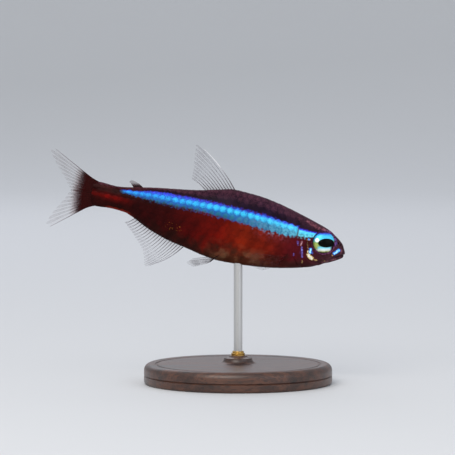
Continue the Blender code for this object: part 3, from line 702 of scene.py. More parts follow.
# Over the back each scale has a paler pink middle. Fine pink cells lie all over it and the snout.
on_back = add_node(hide, "MapRange", level, 2.2, 2.7)
on_snout = add_node(hide, "MapRange", body_share, 0.13, 0.07, 0.0, 0.8)
on_back = add_node(hide, "Math", on_back, on_snout, operation="MAXIMUM")
scale_middle = add_node(hide, "MapRange", scale_rim, 0.85, 0.2, 0.0, 0.30)
pink_middle = add_node(hide, "Math", scale_middle, scale_on, operation="MULTIPLY")
pink_cells = add_node(hide, "MapRange", grit, 0.46, 0.62, 0.0, 0.45)
pink_middle = add_node(hide, "Math", pink_middle, pink_cells, operation="ADD")
pink_middle = add_node(hide, "Math", pink_middle, on_back, operation="MULTIPLY")
# The tan here is a painted highlight along the stalk's upper edge.
for shown, pigment in (
    (core_part, "#6E0805"), (orange_line, "#7A1C0C"), (top_highlight_part, "#54302C"),
    (gut_shown, "#62503A"), (pink_shown, "#8C4656"), (pink_middle, "#5E3644"),
):
    ground = add_node(hide, "Mix", shown, ground, pigment)

# The stripe runs from the eye to the tail stalk. Its cells reflect dull teal along its foot,
# cyan over most of it and violet at its top. Each scale is brightest in its middle.
jagged = add_node(hide, "Math", plates, 0.30, level, operation="MULTIPLY_ADD")
stripe_height = add_node(hide, "MapRange", jagged, 1.15, 2.15)
stripe_colour = add_node(hide, "ValToRGB", stripe_height, stops=(
    (0.0, "#2E4A66"), (0.16, "#2A6A80"), (0.34, "#2A84A0"), (0.48, "#34BEEC"), (0.72, "#42D2FF"),
    (0.83, "#3E80F2"), (0.91, "#4044E2"), (1.0, "#3020A0"),
))["Color"]
rear_colour = add_node(hide, "ValToRGB", stripe_height, stops=(
    (0.0, "#18566C"), (0.36, "#1C6CA2"), (0.62, "#2888F0"), (0.85, "#3450E0"), (1.0, "#2C1E98"),
))["Color"]
rear_part = add_node(hide, "MapRange", body_share, 0.42, 0.78, 0.0, 0.85)
stripe_colour = add_node(hide, "Mix", rear_part, stripe_colour, rear_colour)
edge_most = add_node(hide, "MapRange", body_share, 0.28, 0.44, 0.34, 0.78)
stripe_edge = add_node(hide, "MapRange", scale_rim, 0.48, 1.0, 0.0, edge_most)
stripe_edge = add_node(hide, "Math", stripe_edge, scale_on, operation="MULTIPLY")
stripe_colour = add_node(hide, "Mix", stripe_edge, stripe_colour, "#2450B4")
mottled = add_node(hide, "MapRange", plates, 0.40, 0.60, 0.35, 1.0)
dull_part = add_node(hide, "Math", stripe_dull, mottled, operation="MULTIPLY")
stripe_colour = add_node(hide, "Mix", dull_part, stripe_colour, "#48749C")
on_cover = add_node(hide, "MapRange", body_share, STRIPE_BREAK, STRIPE_BREAK - 0.001)
front_part = add_node(hide, "MapRange", body_share, 0.38, 0.22, 0.0, 0.55)
on_cover = add_node(hide, "Math", on_cover, front_part, operation="MAXIMUM")
bright_part = add_node(hide, "MapRange", plates, 0.34, 0.62, 0.15, 0.85)
bright_part = add_node(hide, "Math", on_cover, bright_part, operation="MULTIPLY")
bright_part = add_node(hide, "MapRange", stripe_height, 0.90, 0.72, 0.0, bright_part)
stripe_colour = add_node(hide, "Mix", bright_part, stripe_colour, "#78E6FC")
dull_most = add_node(hide, "MapRange", on_cover, 0.0, 1.0, 0.62, 0.22)
dull_plates = add_node(hide, "MapRange", grit, 0.49, 0.34, 0.0, dull_most)
stripe_colour = add_node(hide, "Mix", dull_plates, stripe_colour, "#1E4880")
stripe_on = add_node(hide, "MapRange", jagged, 1.09, 1.24, 0.0, stripe_reach, **SOFTLY)
stripe_on = add_node(hide, "MapRange", jagged, 2.24, 2.12, 0.0, stripe_on, **SOFTLY)
painted = add_node(hide, "Mix", stripe_on, ground, stripe_colour)


def lay_mark(under, amount, stops):
    """Lays one kind of mark over a colour. The plates reflect unevenly and break up its edge."""
    strength = add_node(hide, "MapRange", plates, 0.36, 0.64, 0.66, 1.22)
    strength = add_node(hide, "Math", strength, amount, operation="MULTIPLY")
    ragged = add_node(hide, "Math", grit, 0.80, strength, operation="MULTIPLY_ADD")
    ragged = add_node(hide, "Math", cells, 0.45, ragged, operation="MULTIPLY_ADD")
    lit = add_node(hide, "MapRange", ragged, 0.80, 1.70)
    shown = add_node(hide, "MapRange", lit, 0.06, 0.40, **SOFTLY)
    tone = add_node(hide, "ValToRGB", lit, stops=stops)["Color"]
    return add_node(hide, "Mix", shown, under, tone)


# The rose kind also carries the painted highlights along the top of the head.
for kind, stops in (
    (violet, ((0.1, "#4E2A58"), (0.5, "#6656A4"), (0.95, "#9C9CEC"))),
    (rose, ((0.1, "#502A34"), (0.5, "#744450"), (0.8, "#A06C78"), (1.0, "#E0BAC2"))),
    (silver, ((0.1, "#5E4A42"), (0.35, "#A8824E"), (0.62, "#EAD48C"), (0.88, "#FFFDF4"))),
    (blue, ((0.1, "#44349A"), (0.45, "#3C7CEC"), (0.75, "#62D2FF"), (1.0, "#C8F8FF"))),
):
    painted = lay_mark(painted, kind, stops)

# A thin violet and rose fold holds the eye, and shade is painted into the pits.
fold_colour = add_node(
    hide, "ValToRGB", grit, stops=((0.38, "#2A1024"), (0.5, "#54264E"), (0.64, "#9A5A92"))
)["Color"]
fold_on = add_node(hide, "Math", eye_fold, 0.85, operation="MULTIPLY")
painted = add_node(hide, "Mix", fold_on, painted, fold_colour)
painted = add_node(hide, "Mix", painted_pit_shade, painted, "#120709")

# Single gold cells lie over the anal fin, and single dark ones wherever no plates reflect.
gold_on = add_node(hide, "MapRange", grit, 0.655, 0.70, 0.0, gold_cells)
painted = add_node(hide, "Mix", gold_on, painted, "#E08C38")
dark_part = add_node(hide, "MapRange", cells, 0.42, 0.32, 0.0, 0.40)
reflecting = add_node(hide, "Math", silver, blue, operation="MAXIMUM")
reflecting = add_node(hide, "Math", reflecting, stripe_on, operation="MAXIMUM")
dark_part = add_node(hide, "MapRange", reflecting, 0.1, 0.5, dark_part, 0.0)
painted = add_node(hide, "Mix", dark_part, painted, "#160A10")

# Each scale is a little lighter or darker than the next one, and its rim is darker.
tint = add_node(hide, "MapRange", scale_random, 0.0, 1.0, 0.91, 1.09)
rim_dark = add_node(hide, "MapRange", scale_rim, 0.70, 1.0, 0.0, 0.14)
scale_shade = add_node(hide, "Math", tint, rim_dark, operation="SUBTRACT")
shaded = add_node(hide, "Mix", 1.0, painted, scale_shade, blend_type="MULTIPLY")
painted = add_node(hide, "Mix", scale_on, painted, shaded)

# Reflecting plates are a little metallic. The rest is dull where the plates are uneven.
plate_shine = add_node(hide, "Math", stripe_on, 0.16, operation="MULTIPLY")
mark_shine = add_node(hide, "Math", silver, 0.25, operation="MULTIPLY")
shiny = add_node(hide, "Math", plate_shine, mark_shine, operation="MAXIMUM")
roughness = add_node(hide, "MapRange", plates, 0.2, 0.8, 0.50, 0.36)
fine_relief = add_node(hide, "Bump", Height=cells, Strength=0.2, Distance=0.000012)
feed(hide, shader, Base_Color=painted, Metallic=shiny, Roughness=roughness, Normal=fine_relief)

# The skin's mesh, a ball whose poles are the snout and the end of the stalk.
SKIN_SEGMENTS, SKIN_RINGS = 200, 400
END_CAP = 0.035  # share past the stalk's end over which the flesh thins out
HEAD_END = 0.26  # share behind which the skin has no folds
UNDER_SCALES = 0.02  # mm by which the skin is lower under the scales


def vertex_places(mesh):
    """The places of all vertices as one array."""
    places = np.empty(len(mesh.vertices) * 3, np.float32)
    mesh.vertices.foreach_get("co", places)
    return places.reshape(-1, 3).astype(float)


def place_vertices(mesh, places):
    """Moves all vertices to these places."""
    mesh.vertices.foreach_set("co", places.ravel().astype(np.float32))


bpy.ops.mesh.primitive_uv_sphere_add(segments=SKIN_SEGMENTS, ring_count=SKIN_RINGS, radius=1)
skin = new_piece("skin", hide)
ball = vertex_places(skin.data)
count = len(ball)
# The ball's rings lie closer together towards the snout.
run = np.arccos(np.clip(ball[:, 2], -1, 1)) / math.pi
angle = np.arctan2(ball[:, 0], ball[:, 1])
share = np.minimum((run**1.5) * (1 + END_CAP * 1.02), 1 + END_CAP)
places = section_point(np.minimum(share, 1), angle)
# Past the end of the stalk the flesh narrows to a flat edge between the tail's rays.
ending = np.clip((share - 1) / END_CAP, 0, 1)
places[:, 0] = -share * STANDARD_LENGTH
places[:, 1] *= np.sqrt(1 - ending**2) * (1 - 0.35 * ending)
places[:, 2] *= 1 - 0.12 * ending - 0.88 * ending**6
place_vertices(skin.data, places)
face_outwards(skin)
normals = np.empty(count * 3, np.float32)
skin.data.vertices.foreach_get("normal", normals)
up_share = places[:, 2] / STANDARD_LENGTH
on_head = np.minimum(share, HEAD_END + 0.04)
relief = np.where(share < HEAD_END, head_relief(on_head, up_share), 0)
relief -= UNDER_SCALES * smooth(0.20, 0.24, share)
raised = places + normals.reshape(count, 3) * (relief / 1000)[:, None]
place_vertices(skin.data, posed(raised))
skin.data.shade_smooth()
store_places(skin.data, share, up_share, share, up_share)
add_vectors(skin.data, "scale_look", np.zeros((count, 3)))
silver_amount, blue_amount, violet_amount, rose_and_highlight_amount = (
    mark_amount(marks, on_head, up_share)
    for marks in (SILVER_MARKS, BLUE_MARKS, VIOLET_MARKS, ROSE_MARKS_AND_HIGHLIGHTS)
)
add_vectors(skin.data, "head_marks", np.stack((silver_amount, blue_amount, violet_amount), -1))
fold_amount, pit_shade = eye_fold_amount(on_head, up_share), pit_shade_amount(on_head, up_share)
add_vectors(skin.data, "rose_fold_and_pit_shade", np.stack((rose_and_highlight_amount, fold_amount, pit_shade), -1))
hold(skin, "flank_skin", "head", "torso", "tail_stalk", "gill_cover_left", "gill_cover_right")


# Scales: thin round plates of bone, each under a film of skin. They lie in lengthwise rows, each
# half a scale on from the next row, with the root of each under the rear edge of the one ahead.
SCALE_COLUMNS = 59
SCALE_START = 0.205
ROW_SPACING = 1.86  # mm between the scales of one column, at the deepest part of the body
SCALE_LENGTH, SCALE_WIDTH = 3.3, 0.78  # in columns, and in row spacings
ROOT_DEPTH, REAR_LIFT, PLATE_THICKNESS = -0.035, 0.034, 0.012  # mm from the skin
OVER_THE_BACK = 1.06  # how far past the midline a row may reach, as a share of the half girth
COLUMNS_AHEAD, ROWS_EACH_WAY = 2, 6  # ahead of the start, and up and down from the side line
# How much the scales vary in place, in columns and rows, in length, and in lift in mm.
ROOT_WOBBLE, ROW_WOBBLE, LENGTH_WOBBLE, LIFT_WOBBLE = 0.05, 0.015, 0.03, 0.003
SWEEP_FROM, SWEEP, SWEEP_POWER = 1.2, 0.0009, 1.6  # from here in mm, share for each mm beyond
ARCH = 0.035  # mm that a scale's side edges lie lower than its middle
END_SINK = 2.2  # mm for a share of 1 past the stalk's end
COLOUR_MIDDLE, OWN_COLOUR = 0.66, 0.30  # a scale's middle, and how far its colour counts
RIM_CENTRE, RIM_LENGTH, RIM_WIDTH = 0.70, 0.34, 0.86  # of the oval along which a rim lies
TUFT_PATCH = 0.003  # size of each scale's patch on the unwrap
UNWRAP_FROM, UNWRAP_LENGTH, UNWRAP_MARGIN, UNWRAP_ROW = 0.15, 0.96, 0.02, 0.036
STATIONS, ANGLES = 240, 121


def girth_tables():
    """For stations along the body: half girth above and below the side line in mm, and the
    distance round from the side line for each of a row of angles."""
    share = np.linspace(SCALE_START - 0.03, 1, STATIONS)
    angle = np.linspace(0, math.pi, ANGLES)
    ring = section_point(share[:, None], angle[None, :])
    steps = np.linalg.norm(np.diff(ring, axis=1), axis=-1) * 1000
    travelled = np.concatenate((np.zeros((STATIONS, 1)), np.cumsum(steps, 1)), 1)
    middle = travelled[:, ANGLES // 2][:, None]
    return share, angle, middle - travelled


table_share, table_angle, table_round = girth_tables()


def angle_round(share, distance):
    """Angle of the section at a distance in mm round from the side line, up being positive. Past
    the midline it goes on over to the other side."""
    station = (share - table_share[0]) / (table_share[1] - table_share[0])
    station = np.clip(station, 0, STATIONS - 1.001)
    low = station.astype(int)
    part = station - low
    found = np.empty(share.shape)
    for i in np.unique(low):
        here = low == i
        for k, weight in ((i, 1 - part[here]), (i + 1, part[here])):
            row = table_round[k]
            reach = distance[here]
            folded = np.where(reach > row[0], 2 * row[0] - reach, reach)
            folded = np.where(reach < row[-1], 2 * row[-1] - reach, folded)
            angle = np.interp(-folded, -row, table_angle)
            angle = np.where(reach > row[0], -angle, angle)
            angle = np.where(reach < row[-1], 2 * math.pi - angle, angle)
            found[here] = weight * angle if k == i else found[here] + weight * angle
    return found


def scale_template():
    """One scale as a closed plate: a grid that is shaped to a round rear edge and given a
    thickness. Its x runs from root to rear edge, y across, and z is 1 on the outer face."""
    bpy.ops.mesh.primitive_grid_add(
        x_subdivisions=4, y_subdivisions=6, size=1, location=(0.5, 0, 0)
    )
    plate = new_piece("scale", hide)
    for vertex in plate.data.vertices:
        along, across = vertex.co.x, vertex.co.y * 2
        vertex.co.x = along * (1 - 0.36 * across**2 * along)
        vertex.co.y = across * 0.5 * (1 - 0.10 * (1 - along)) * (1 - 0.20 * along**4)
    bpy.ops.object.mode_set(mode="EDIT")
    bpy.ops.mesh.select_all(action="SELECT")
    bpy.ops.mesh.extrude_region_move(TRANSFORM_OT_translate={"value": (0, 0, 1)})
    bpy.ops.object.mode_set(mode="OBJECT")
    face_outwards(plate)
    corners = vertex_places(plate.data)
    faces = [tuple(face.vertices) for face in plate.data.polygons]
    bpy.data.objects.remove(plate)
    return corners, faces


plate_corners, plate_faces = scale_template()
draw = np.random.default_rng(7)


def half_girth(share, end):
    """Distance in mm round from the side line to the back, where end is 0, or the belly, -1."""
    return np.interp(share, table_share, table_round[:, end])


def row_spacing(share):
    """Distance in mm between the scales of a column. Rows draw together towards the tail, less
    than the body."""
    return ROW_SPACING * (half_girth(share, 0) / table_round[:, 0].max()) ** 0.5


def scale_centres():
    """Where the scales of one side sit, as (the root's share, the row)."""
    pitch = (1 - SCALE_START) / SCALE_COLUMNS
    centres = []
    for column in range(-COLUMNS_AHEAD, SCALE_COLUMNS):
        share = SCALE_START + column * pitch
        spacing = float(row_spacing(share))
        top, bottom = float(half_girth(share, 0)), float(half_girth(share, -1))
        for row in range(-ROWS_EACH_WAY, ROWS_EACH_WAY + 1):
            place = row + 0.5 * (column % 2)
            if bottom * OVER_THE_BACK < place * spacing < top * OVER_THE_BACK:
                centres.append((share, place))
    return np.array(centres), pitch


def built_piece(name, places, faces, material):
    """A piece made from places on the stand and faces."""
    mesh = bpy.data.meshes.new(name)
    mesh.from_pydata(places, [], faces)
    mesh.materials.append(material)
    piece = bpy.data.objects.new(name, mesh)
    bpy.context.scene.collection.objects.link(piece)
    return piece


def lay_scales(name, side):
    """All scales of one flank as one mesh. Side is 1 on the left and -1 on the right."""
    centres, pitch = scale_centres()
    count, corners = len(centres), len(plate_corners)
    along, across, outer = plate_corners.T
    wobble = draw.normal(0, 1, (count, 4))
    root = centres[:, 0] + wobble[:, 0] * pitch * ROOT_WOBBLE
    row = centres[:, 1] + wobble[:, 1] * ROW_WOBBLE
    length = SCALE_LENGTH * pitch * (1 + wobble[:, 2] * LENGTH_WOBBLE)
    # The first columns lie forward under the gill cover's edge above and below its middle.
    past_middle = np.maximum(np.abs(centres[:, 1]) * ROW_SPACING - SWEEP_FROM, 0)
    root = root - SWEEP * past_middle**SWEEP_POWER * smooth(0.40, 0.20, root)
    share = root[:, None] + along * length[:, None]
    near = np.clip(share, table_share[0], 1.0)
    distance = (row[:, None] + across * SCALE_WIDTH) * row_spacing(near)
    angle = angle_round(near.ravel(), distance.ravel()).reshape(near.shape)
    surface = section_point(near, angle)
    surface[..., 0] = -share * STANDARD_LENGTH
    # The plates lie flatter towards the midlines.
    girth = np.where(distance > 0, half_girth(near, 0), -half_girth(near, -1))
    flat = 1 - 0.75 * smooth(0.72, 0.95, np.abs(distance) / girth)
    lift = ROOT_DEPTH + (REAR_LIFT * flat - ROOT_DEPTH) * along**0.8
    lift = lift - ARCH * (2 * across) ** 2 * flat
    lift = lift + PLATE_THICKNESS * outer + wobble[:, 3:] * LIFT_WOBBLE * along
    lift = lift - np.maximum(share - 1, 0) * END_SINK
    points = surface + section_normal(near, angle) * (lift / 1000)[..., None]
    points[..., 1] *= side
    faces = np.array(plate_faces)[:, ::side]
    all_faces = (faces[None] + np.arange(count)[:, None, None] * corners).reshape(-1, 4)
    piece = built_piece(name, posed(points).reshape(-1, 3), all_faces.tolist(), hide)
    mesh = piece.data
    # Colour follows each scale's own middle as well as the place, so that it steps at the edges.
    middle_share = np.clip(root + length * COLOUR_MIDDLE, 0, 1)
    middle_angle = angle_round(middle_share, row * row_spacing(middle_share))
    middle_up = section_point(middle_share, middle_angle)[:, 2] / STANDARD_LENGTH
    up_share = surface[..., 2] / STANDARD_LENGTH
    seen_up = OWN_COLOUR * middle_up[:, None] + (1 - OWN_COLOUR) * up_share
    seen_share = OWN_COLOUR * middle_share[:, None] + (1 - OWN_COLOUR) * share
    store_places(mesh, share, up_share, seen_share, seen_up)
    look = np.ones((count, corners, 3))
    look[..., 0] = draw.random(count)[:, None]
    rim = np.hypot((along - RIM_CENTRE) / RIM_LENGTH, across * 2 / RIM_WIDTH)
    look[..., 1] = np.minimum(rim, 1)
    add_vectors(mesh, "scale_look", look)
    for marks in ("head_marks", "rose_fold_and_pit_shade"):
        add_vectors(mesh, marks, np.zeros((count * corners, 3)))
    unwrap_scales(mesh, root, row, side)
    mesh.shade_smooth()
    mesh.set_sharp_from_angle(angle=math.radians(50))
    return piece


def unwrap_scales(mesh, root, row, side):
    """Each scale is a small patch at its root's place on the flank laid flat. The left flank has
    the lower half of the layout."""
    side_line = 0.25 if side > 0 else 0.75
    behind = UNWRAP_MARGIN + UNWRAP_LENGTH * (root - UNWRAP_FROM)
    centre = np.stack((behind, side_line + row * UNWRAP_ROW), -1)
    patch = (plate_corners[:, :2] - (0.5, 0)) * TUFT_PATCH
    places = (centre[:, None] + patch[None]).reshape(-1, 2)
    corner_vertex = np.empty(len(mesh.loops), np.int32)
    mesh.loops.foreach_get("vertex_index", corner_vertex)
    layer = mesh.uv_layers.new(name="OFBake")
    layer.data.foreach_set("uv", places[corner_vertex].astype(np.float32).ravel())


for word, side in (("left", 1), ("right", -1)):
    hold(lay_scales(f"scales_{word}", side), "flank_skin")


# Eyes: a glossy flattened ball in each socket. A ring of silver, gold and blue reflecting cells
# lies round the black lens, and a thin violet fold of the skin holds the ball.
PUPIL_CENTRE = (-0.27, -0.11)  # mm behind and above the middle of the eye
PUPIL_RADII = (1.12, 0.60)  # mm along and up
LENS_BULGE, TROUGH_DEPTH = 0.05, 0.02  # mm
# A white painted highlight on the iris is centred here.
PAINTED_HIGHLIGHT_AT = (1.0, 0.28)  # mm behind and above the middle of the eye

# Painted under a clear gloss: a black lens, blue above it, gold and silver below, and a white
# painted highlight up behind it.
iris, shader = new_material(
    "eye_iris_and_lens", Coat_Weight=0.16, Coat_Roughness=0.03, Coat_IOR=1.36,
    Specular_IOR_Level=0.03,
)
eye_place = add_node(iris, "Attribute", attribute_name="eye_place")["Vector"]
eye_zones = add_node(iris, "Attribute", attribute_name="eye_zones")["Vector"]
rear, upward, pupil = add_node(iris, "SeparateXYZ", eye_place).values()
gold_rear, dark_front, painted_highlight = add_node(iris, "SeparateXYZ", eye_zones).values()
place = add_node(iris, "TexCoord")["Object"]
# The reflecting cells lie in groups 0.2 mm across.
grains = add_node(iris, "TexNoise", Vector=place, Scale=5200, Detail=3)["Fac"]
uneven_up = add_node(iris, "Math", grains, 0.34, upward, operation="MULTIPLY_ADD")
height = add_node(iris, "MapRange", uneven_up, -1.33, 1.67)
bands = add_node(iris, "ValToRGB", height, stops=(
    (0.0, "#38222E"), (0.05, "#70703C"), (0.09, "#D8E0A8"), (0.14, "#F8FFFF"), (0.20, "#C0F6FF"),
    (0.26, "#70D6FA"), (0.32, "#7FA880"), (0.47, "#8CA650"), (0.56, "#6CC4B8"), (0.63, "#54D4FC"),
    (0.79, "#4CC8FA"), (0.86, "#3C90F2"), (0.91, "#4448CC"), (0.945, "#3A1E58"), (1.0, "#2A1430"),
))["Color"]
bands = add_node(iris, "Mix", gold_rear, bands, "#A6B85E")
bands = add_node(iris, "Mix", dark_front, bands, "#22161F")
grain_shade = add_node(iris, "MapRange", grains, 0.46, 0.32, 0.0, 0.32)
bands = add_node(iris, "Mix", grain_shade, bands, "#3C6470")
# The white spot is a painted highlight.
bands = add_node(iris, "Mix", painted_highlight, bands, "#FFFFFF")
lens_on = add_node(iris, "MapRange", pupil, 1.08, 0.98, **SOFTLY)
eye_colour = add_node(iris, "Mix", lens_on, bands, "#010102")
eye_shine = add_node(iris, "MapRange", pupil, 0.98, 1.08, 0.0, 0.30)
eye_rough = add_node(iris, "MapRange", pupil, 0.95, 1.05, 0.30, 0.36)
feed(iris, shader, Base_Color=eye_colour, Metallic=eye_shine, Roughness=eye_rough)


def eyeball(name, side):
    """A flattened ball whose poles face out, with a lens that bulges a little more."""
    bpy.ops.mesh.primitive_uv_sphere_add(segments=96, ring_count=64, radius=1)
    piece = new_piece(name, iris)
    mesh = piece.data
    ball = vertex_places(mesh)
    rear, upward = EYE_RADIUS * SHARE_MM * ball[:, :2].T
    out = EYE_DEPTH * ball[:, 2]
    # The eye's pattern stays level while the body points down.
    level_rear = rear * math.cos(PITCH) - upward * math.sin(PITCH)
    level_up = rear * math.sin(PITCH) + upward * math.cos(PITCH)
    from_pupil = (np.stack((level_rear, level_up), -1) - PUPIL_CENTRE) / PUPIL_RADII
    pupil = np.hypot(*from_pupil.T)
    # A shallow trough lies between the lens and the iris ring.
    raised = LENS_BULGE * groove(pupil, 0.8) - TROUGH_DEPTH * groove(pupil - 1.1, 0.12)
    out += np.where(out > 0, raised, 0)
    turned_rear = rear * math.cos(EYE_TURN) - out * math.sin(EYE_TURN)
    turned_out = rear * math.sin(EYE_TURN) - upward * math.sin(EYE_LEAN) + out
    turned_up = upward * math.cos(EYE_LEAN) + out * math.sin(EYE_LEAN)
    middle = float(eye_ring_out(EYE_BEHIND, EYE_LEVEL))
    points = np.stack((
        -EYE_BEHIND * SHARE_MM - turned_rear, side * (middle + turned_out),
        EYE_LEVEL * SHARE_MM + turned_up,
    ), -1) / 1000
    place_vertices(mesh, posed(points))
    pupil = np.where(out > 0, pupil, 9)  # the back of the ball has none
    add_vectors(mesh, "eye_place", np.stack((level_rear, level_up, pupil), -1))
    # Gold cells lie behind the lens, dark ones before it and below, and one white patch is a
    # painted highlight.
    gold = smooth(0.72, 1.08, level_rear) * within(level_up, -1.15, -0.8, -0.25, 0.05)
    dark = smooth(-0.75, -1.1, level_rear) * smooth(0.15, -0.25, level_up)
    from_painted_highlight = np.hypot(level_rear - PAINTED_HIGHLIGHT_AT[0], level_up - PAINTED_HIGHLIGHT_AT[1])
    patch = smooth(0.32, 0.21, from_painted_highlight)
    add_vectors(mesh, "eye_zones", np.stack((gold, dark, patch), -1))
    face_outwards(piece)
    mesh.shade_smooth()
    return piece


for word, side in (("left", 1), ("right", -1)):
    hold(eyeball(f"eyeball_{word}", side), "eye", f"eye_{word}")


# Fins: a clear double film of skin over rods of jointed bone, the rays, which branch towards
# their tips. Their roots are sunk in the flesh. Outlines are shares of the standard length.
GAP = 0.0003  # that the solids leave between a fin and the body
ROOT_SUNK = 0.0004
FILM_THICKNESS = 0.00005
RAY_ROOT, RAY_TIP = 0.000045, 0.000012  # radii
FILM_ROWS, FILM_COLUMNS = 26, 4  # along a ray, and from each ray to the next
ROD_SIDES = 6
FIRST_BRANCH, SECOND_BRANCH = 0.45, 0.72  # shares of a ray's length
FIRST_SPREAD, SECOND_SPREAD = 0.17, 0.085  # shares of the way to the next ray
BRANCH_SIZE, LEADING_SIZE = 0.72, 1.35  # times a ray's thickness
PAIRED_BEND = 0.001  # how far a ray on the flank stands out before it turns back
LOBE_OVERLAP = 0.00004  # that each lobe of the tail reaches past the middle
DORSAL = dict(front=0.487, rear=0.600, on_back=True, curl=9,
              lengths=((0, 0.190), (0.1, 0.215), (0.35, 0.166), (0.65, 0.112), (1, 0.060)),
              angles=((0, 39.5), (1, 27)))
ADIPOSE = dict(front=0.846, rear=0.880, on_back=True, curl=12,
               lengths=((0, 0.036), (0.35, 0.033), (1, 0.018)), angles=((0, 18), (1, 34)))
ANAL = dict(front=0.632, rear=0.846, on_back=False, curl=11,
            lengths=((0, 0.115), (0.07, 0.150), (0.16, 0.140), (0.45, 0.080), (0.75, 0.050),
                     (1, 0.034)),
            angles=((0, -44), (0.3, -50), (1, -36)))
TAIL_UPPER = dict(edge=0.0455, lobe=1,
                  lengths=((0, 0.232), (0.12, 0.248), (0.35, 0.205), (0.7, 0.140), (1, 0.112)),
                  angles=((0, 24), (0.5, 12), (1, -5)))
TAIL_LOWER = dict(edge=-0.047, lobe=-1,
                  lengths=((0, 0.205), (0.13, 0.222), (0.35, 0.190), (0.7, 0.135), (1, 0.112)),
                  angles=((0, -40), (0.5, -25), (1, -6)))
PECTORAL = dict(base=((0.226, -0.062), (0.243, -0.094)),
                lengths=((0, 0.150), (0.2, 0.170), (0.6, 0.140), (1, 0.085)),
                angles=((0, -4), (1, -26)), splays=((0, 24), (1, 20)))
PELVIC = dict(base=((0.484, -0.122), (0.500, -0.1385)),
              lengths=((0, 0.118), (0.2, 0.128), (1, 0.085)),
              angles=((0, -18), (1, -27)), splays=((0, 17), (1, 7)))


def blend(stops, share):
    """The value at a share of the way, from (share, value) stops."""
    return np.interp(share, [stop[0] for stop in stops], [stop[1] for stop in stops])


def heading(degrees, splay=0.0):
    """Unit vectors towards the tail, raised by degrees and turned out to the left by splay."""
    rise, out = np.radians(degrees), np.radians(splay)
    return np.stack((-np.cos(rise) * np.cos(out), np.cos(rise) * np.sin(out), np.sin(rise)), -1)


def walk(root, heading_at, length, steps):
    """Places along a ray, whose heading changes as it goes. It starts a little below its root."""
    shares = np.linspace(0, 1, steps + 1)
    middles = (shares[1:] + shares[:-1]) / 2
    moves = np.array([heading_at(t) / np.linalg.norm(heading_at(t)) for t in middles])
    moves *= length / steps
    points = np.concatenate((np.zeros((1, 3)), np.cumsum(moves, 0))) + root
    sunk = root - moves[0] / np.linalg.norm(moves[0]) * (GAP + ROOT_SUNK)
    return np.concatenate((sunk[None], points))


def midline_ray(share, front, rear, on_back, curl, lengths, angles, steps=FILM_ROWS):
    """A ray of a fin on the back or the belly, at a share of the way along the fin's base."""
    behind = front + (rear - front) * share
    outline, upward = (back, 1) if on_back else (belly, -1)
    height = float(outline(behind)) * STANDARD_LENGTH + upward * GAP
    angle = blend(angles, share)
    first, last = heading(angle + upward * curl), heading(angle - upward * curl)
    root = np.array((-behind * STANDARD_LENGTH, 0, height))
    length = blend(lengths, share) * STANDARD_LENGTH
    return walk(root, lambda t: first + (last - first) * t, length, steps)


def tail_ray(share, edge, lobe, lengths, angles, steps=FILM_ROWS):
    """A ray of one lobe of the tail fin, from its outer edge to the fork."""
    angle = blend(angles, share)
    first, then = heading(angle * 0.5), heading(angle)
    height = edge * (1 - share) * STANDARD_LENGTH - lobe * LOBE_OVERLAP * share
    root = np.array((-STANDARD_LENGTH - GAP, 0, height))
    length = blend(lengths, share) * STANDARD_LENGTH
    return walk(root, lambda t: first + (then - first) * min(t / 0.25, 1), length, steps)


def paired_ray(share, base, lengths, angles, splays, steps=FILM_ROWS + 6):
    """A ray of a fin on the left flank. It leaves the surface squarely and soon turns back."""
    behind, up = (a + (b - a) * share for a, b in zip(*base))
    step = 0.005
    beside = ((0, 0), (0, step), (0, -step), (step, 0), (-step, 0))
    width = [float(flank(np.array(behind + x), np.array(up + z))) for x, z in beside]
    span = 2 * step * STANDARD_LENGTH
    out = np.cross((0, width[1] - width[2], span), (-span, width[3] - width[4], 0))
    out = out / np.linalg.norm(out) * math.copysign(1, out[1])
    root = np.array((-behind * STANDARD_LENGTH, width[0], up * STANDARD_LENGTH)) + out * GAP
    turned_back = heading(blend(angles, share), blend(splays, share))
    tip = heading(blend(angles, share), blend(splays, share) * 0.6)
    length = blend(lengths, share) * STANDARD_LENGTH
    bend = PAIRED_BEND / length

    def at(t):
        if t < bend:
            return out + (turned_back - out) * (0.25 + 0.75 * t / bend)
        return turned_back + (tip - turned_back) * (t - bend) / (1 - bend)

    return walk(root, at, length, steps)


def film(name, rays, notch, material, side=1):
    """The clear membrane between rays: a grid whose columns follow them, thickened to a closed
    sheet. The margin dips between the rays."""
    columns = 1 + (len(rays) - 1) * FILM_COLUMNS
    rows = len(rays[0])
    grid = np.empty((columns, rows, 3))
    for column in range(columns):
        low, part = divmod(column, FILM_COLUMNS)
        near, far = rays[low], rays[min(low + 1, len(rays) - 1)]
        line = near + (far - near) * part / FILM_COLUMNS
        dip = notch * math.sin(math.pi * part / FILM_COLUMNS) ** 2
        ends = np.linspace(0, (rows - 1) * (1 - dip), rows)
        low_row = np.minimum(ends.astype(int), rows - 2)
        beyond = (ends - low_row)[:, None]
        grid[column] = line[low_row] + (line[low_row + 1] - line[low_row]) * beyond
    bpy.ops.mesh.primitive_grid_add(x_subdivisions=columns - 1, y_subdivisions=rows - 1, size=1)
    piece = new_piece(name, material)
    mesh = piece.data
    corners = vertex_places(mesh)
    column = np.rint((corners[:, 0] + 0.5) * (columns - 1)).astype(int)
    row = np.rint((corners[:, 1] + 0.5) * (rows - 1)).astype(int)
    points = grid[column, row] * (1, side, 1)
    place_vertices(mesh, posed(points))
    travelled = np.linalg.norm(grid[column, row] - grid[column, 0], axis=-1) * 1000
    across, along = column / (columns - 1), row / (rows - 1)
    add_vectors(mesh, "fin_place", np.stack((across, along, travelled), -1))
    modifier = piece.modifiers.new("film", "SOLIDIFY")
    modifier.thickness = FILM_THICKNESS
    modifier.offset = 0
    bpy.ops.object.modifier_apply(modifier=modifier.name)
    face_outwards(piece)
    piece.data.shade_smooth()
    return piece


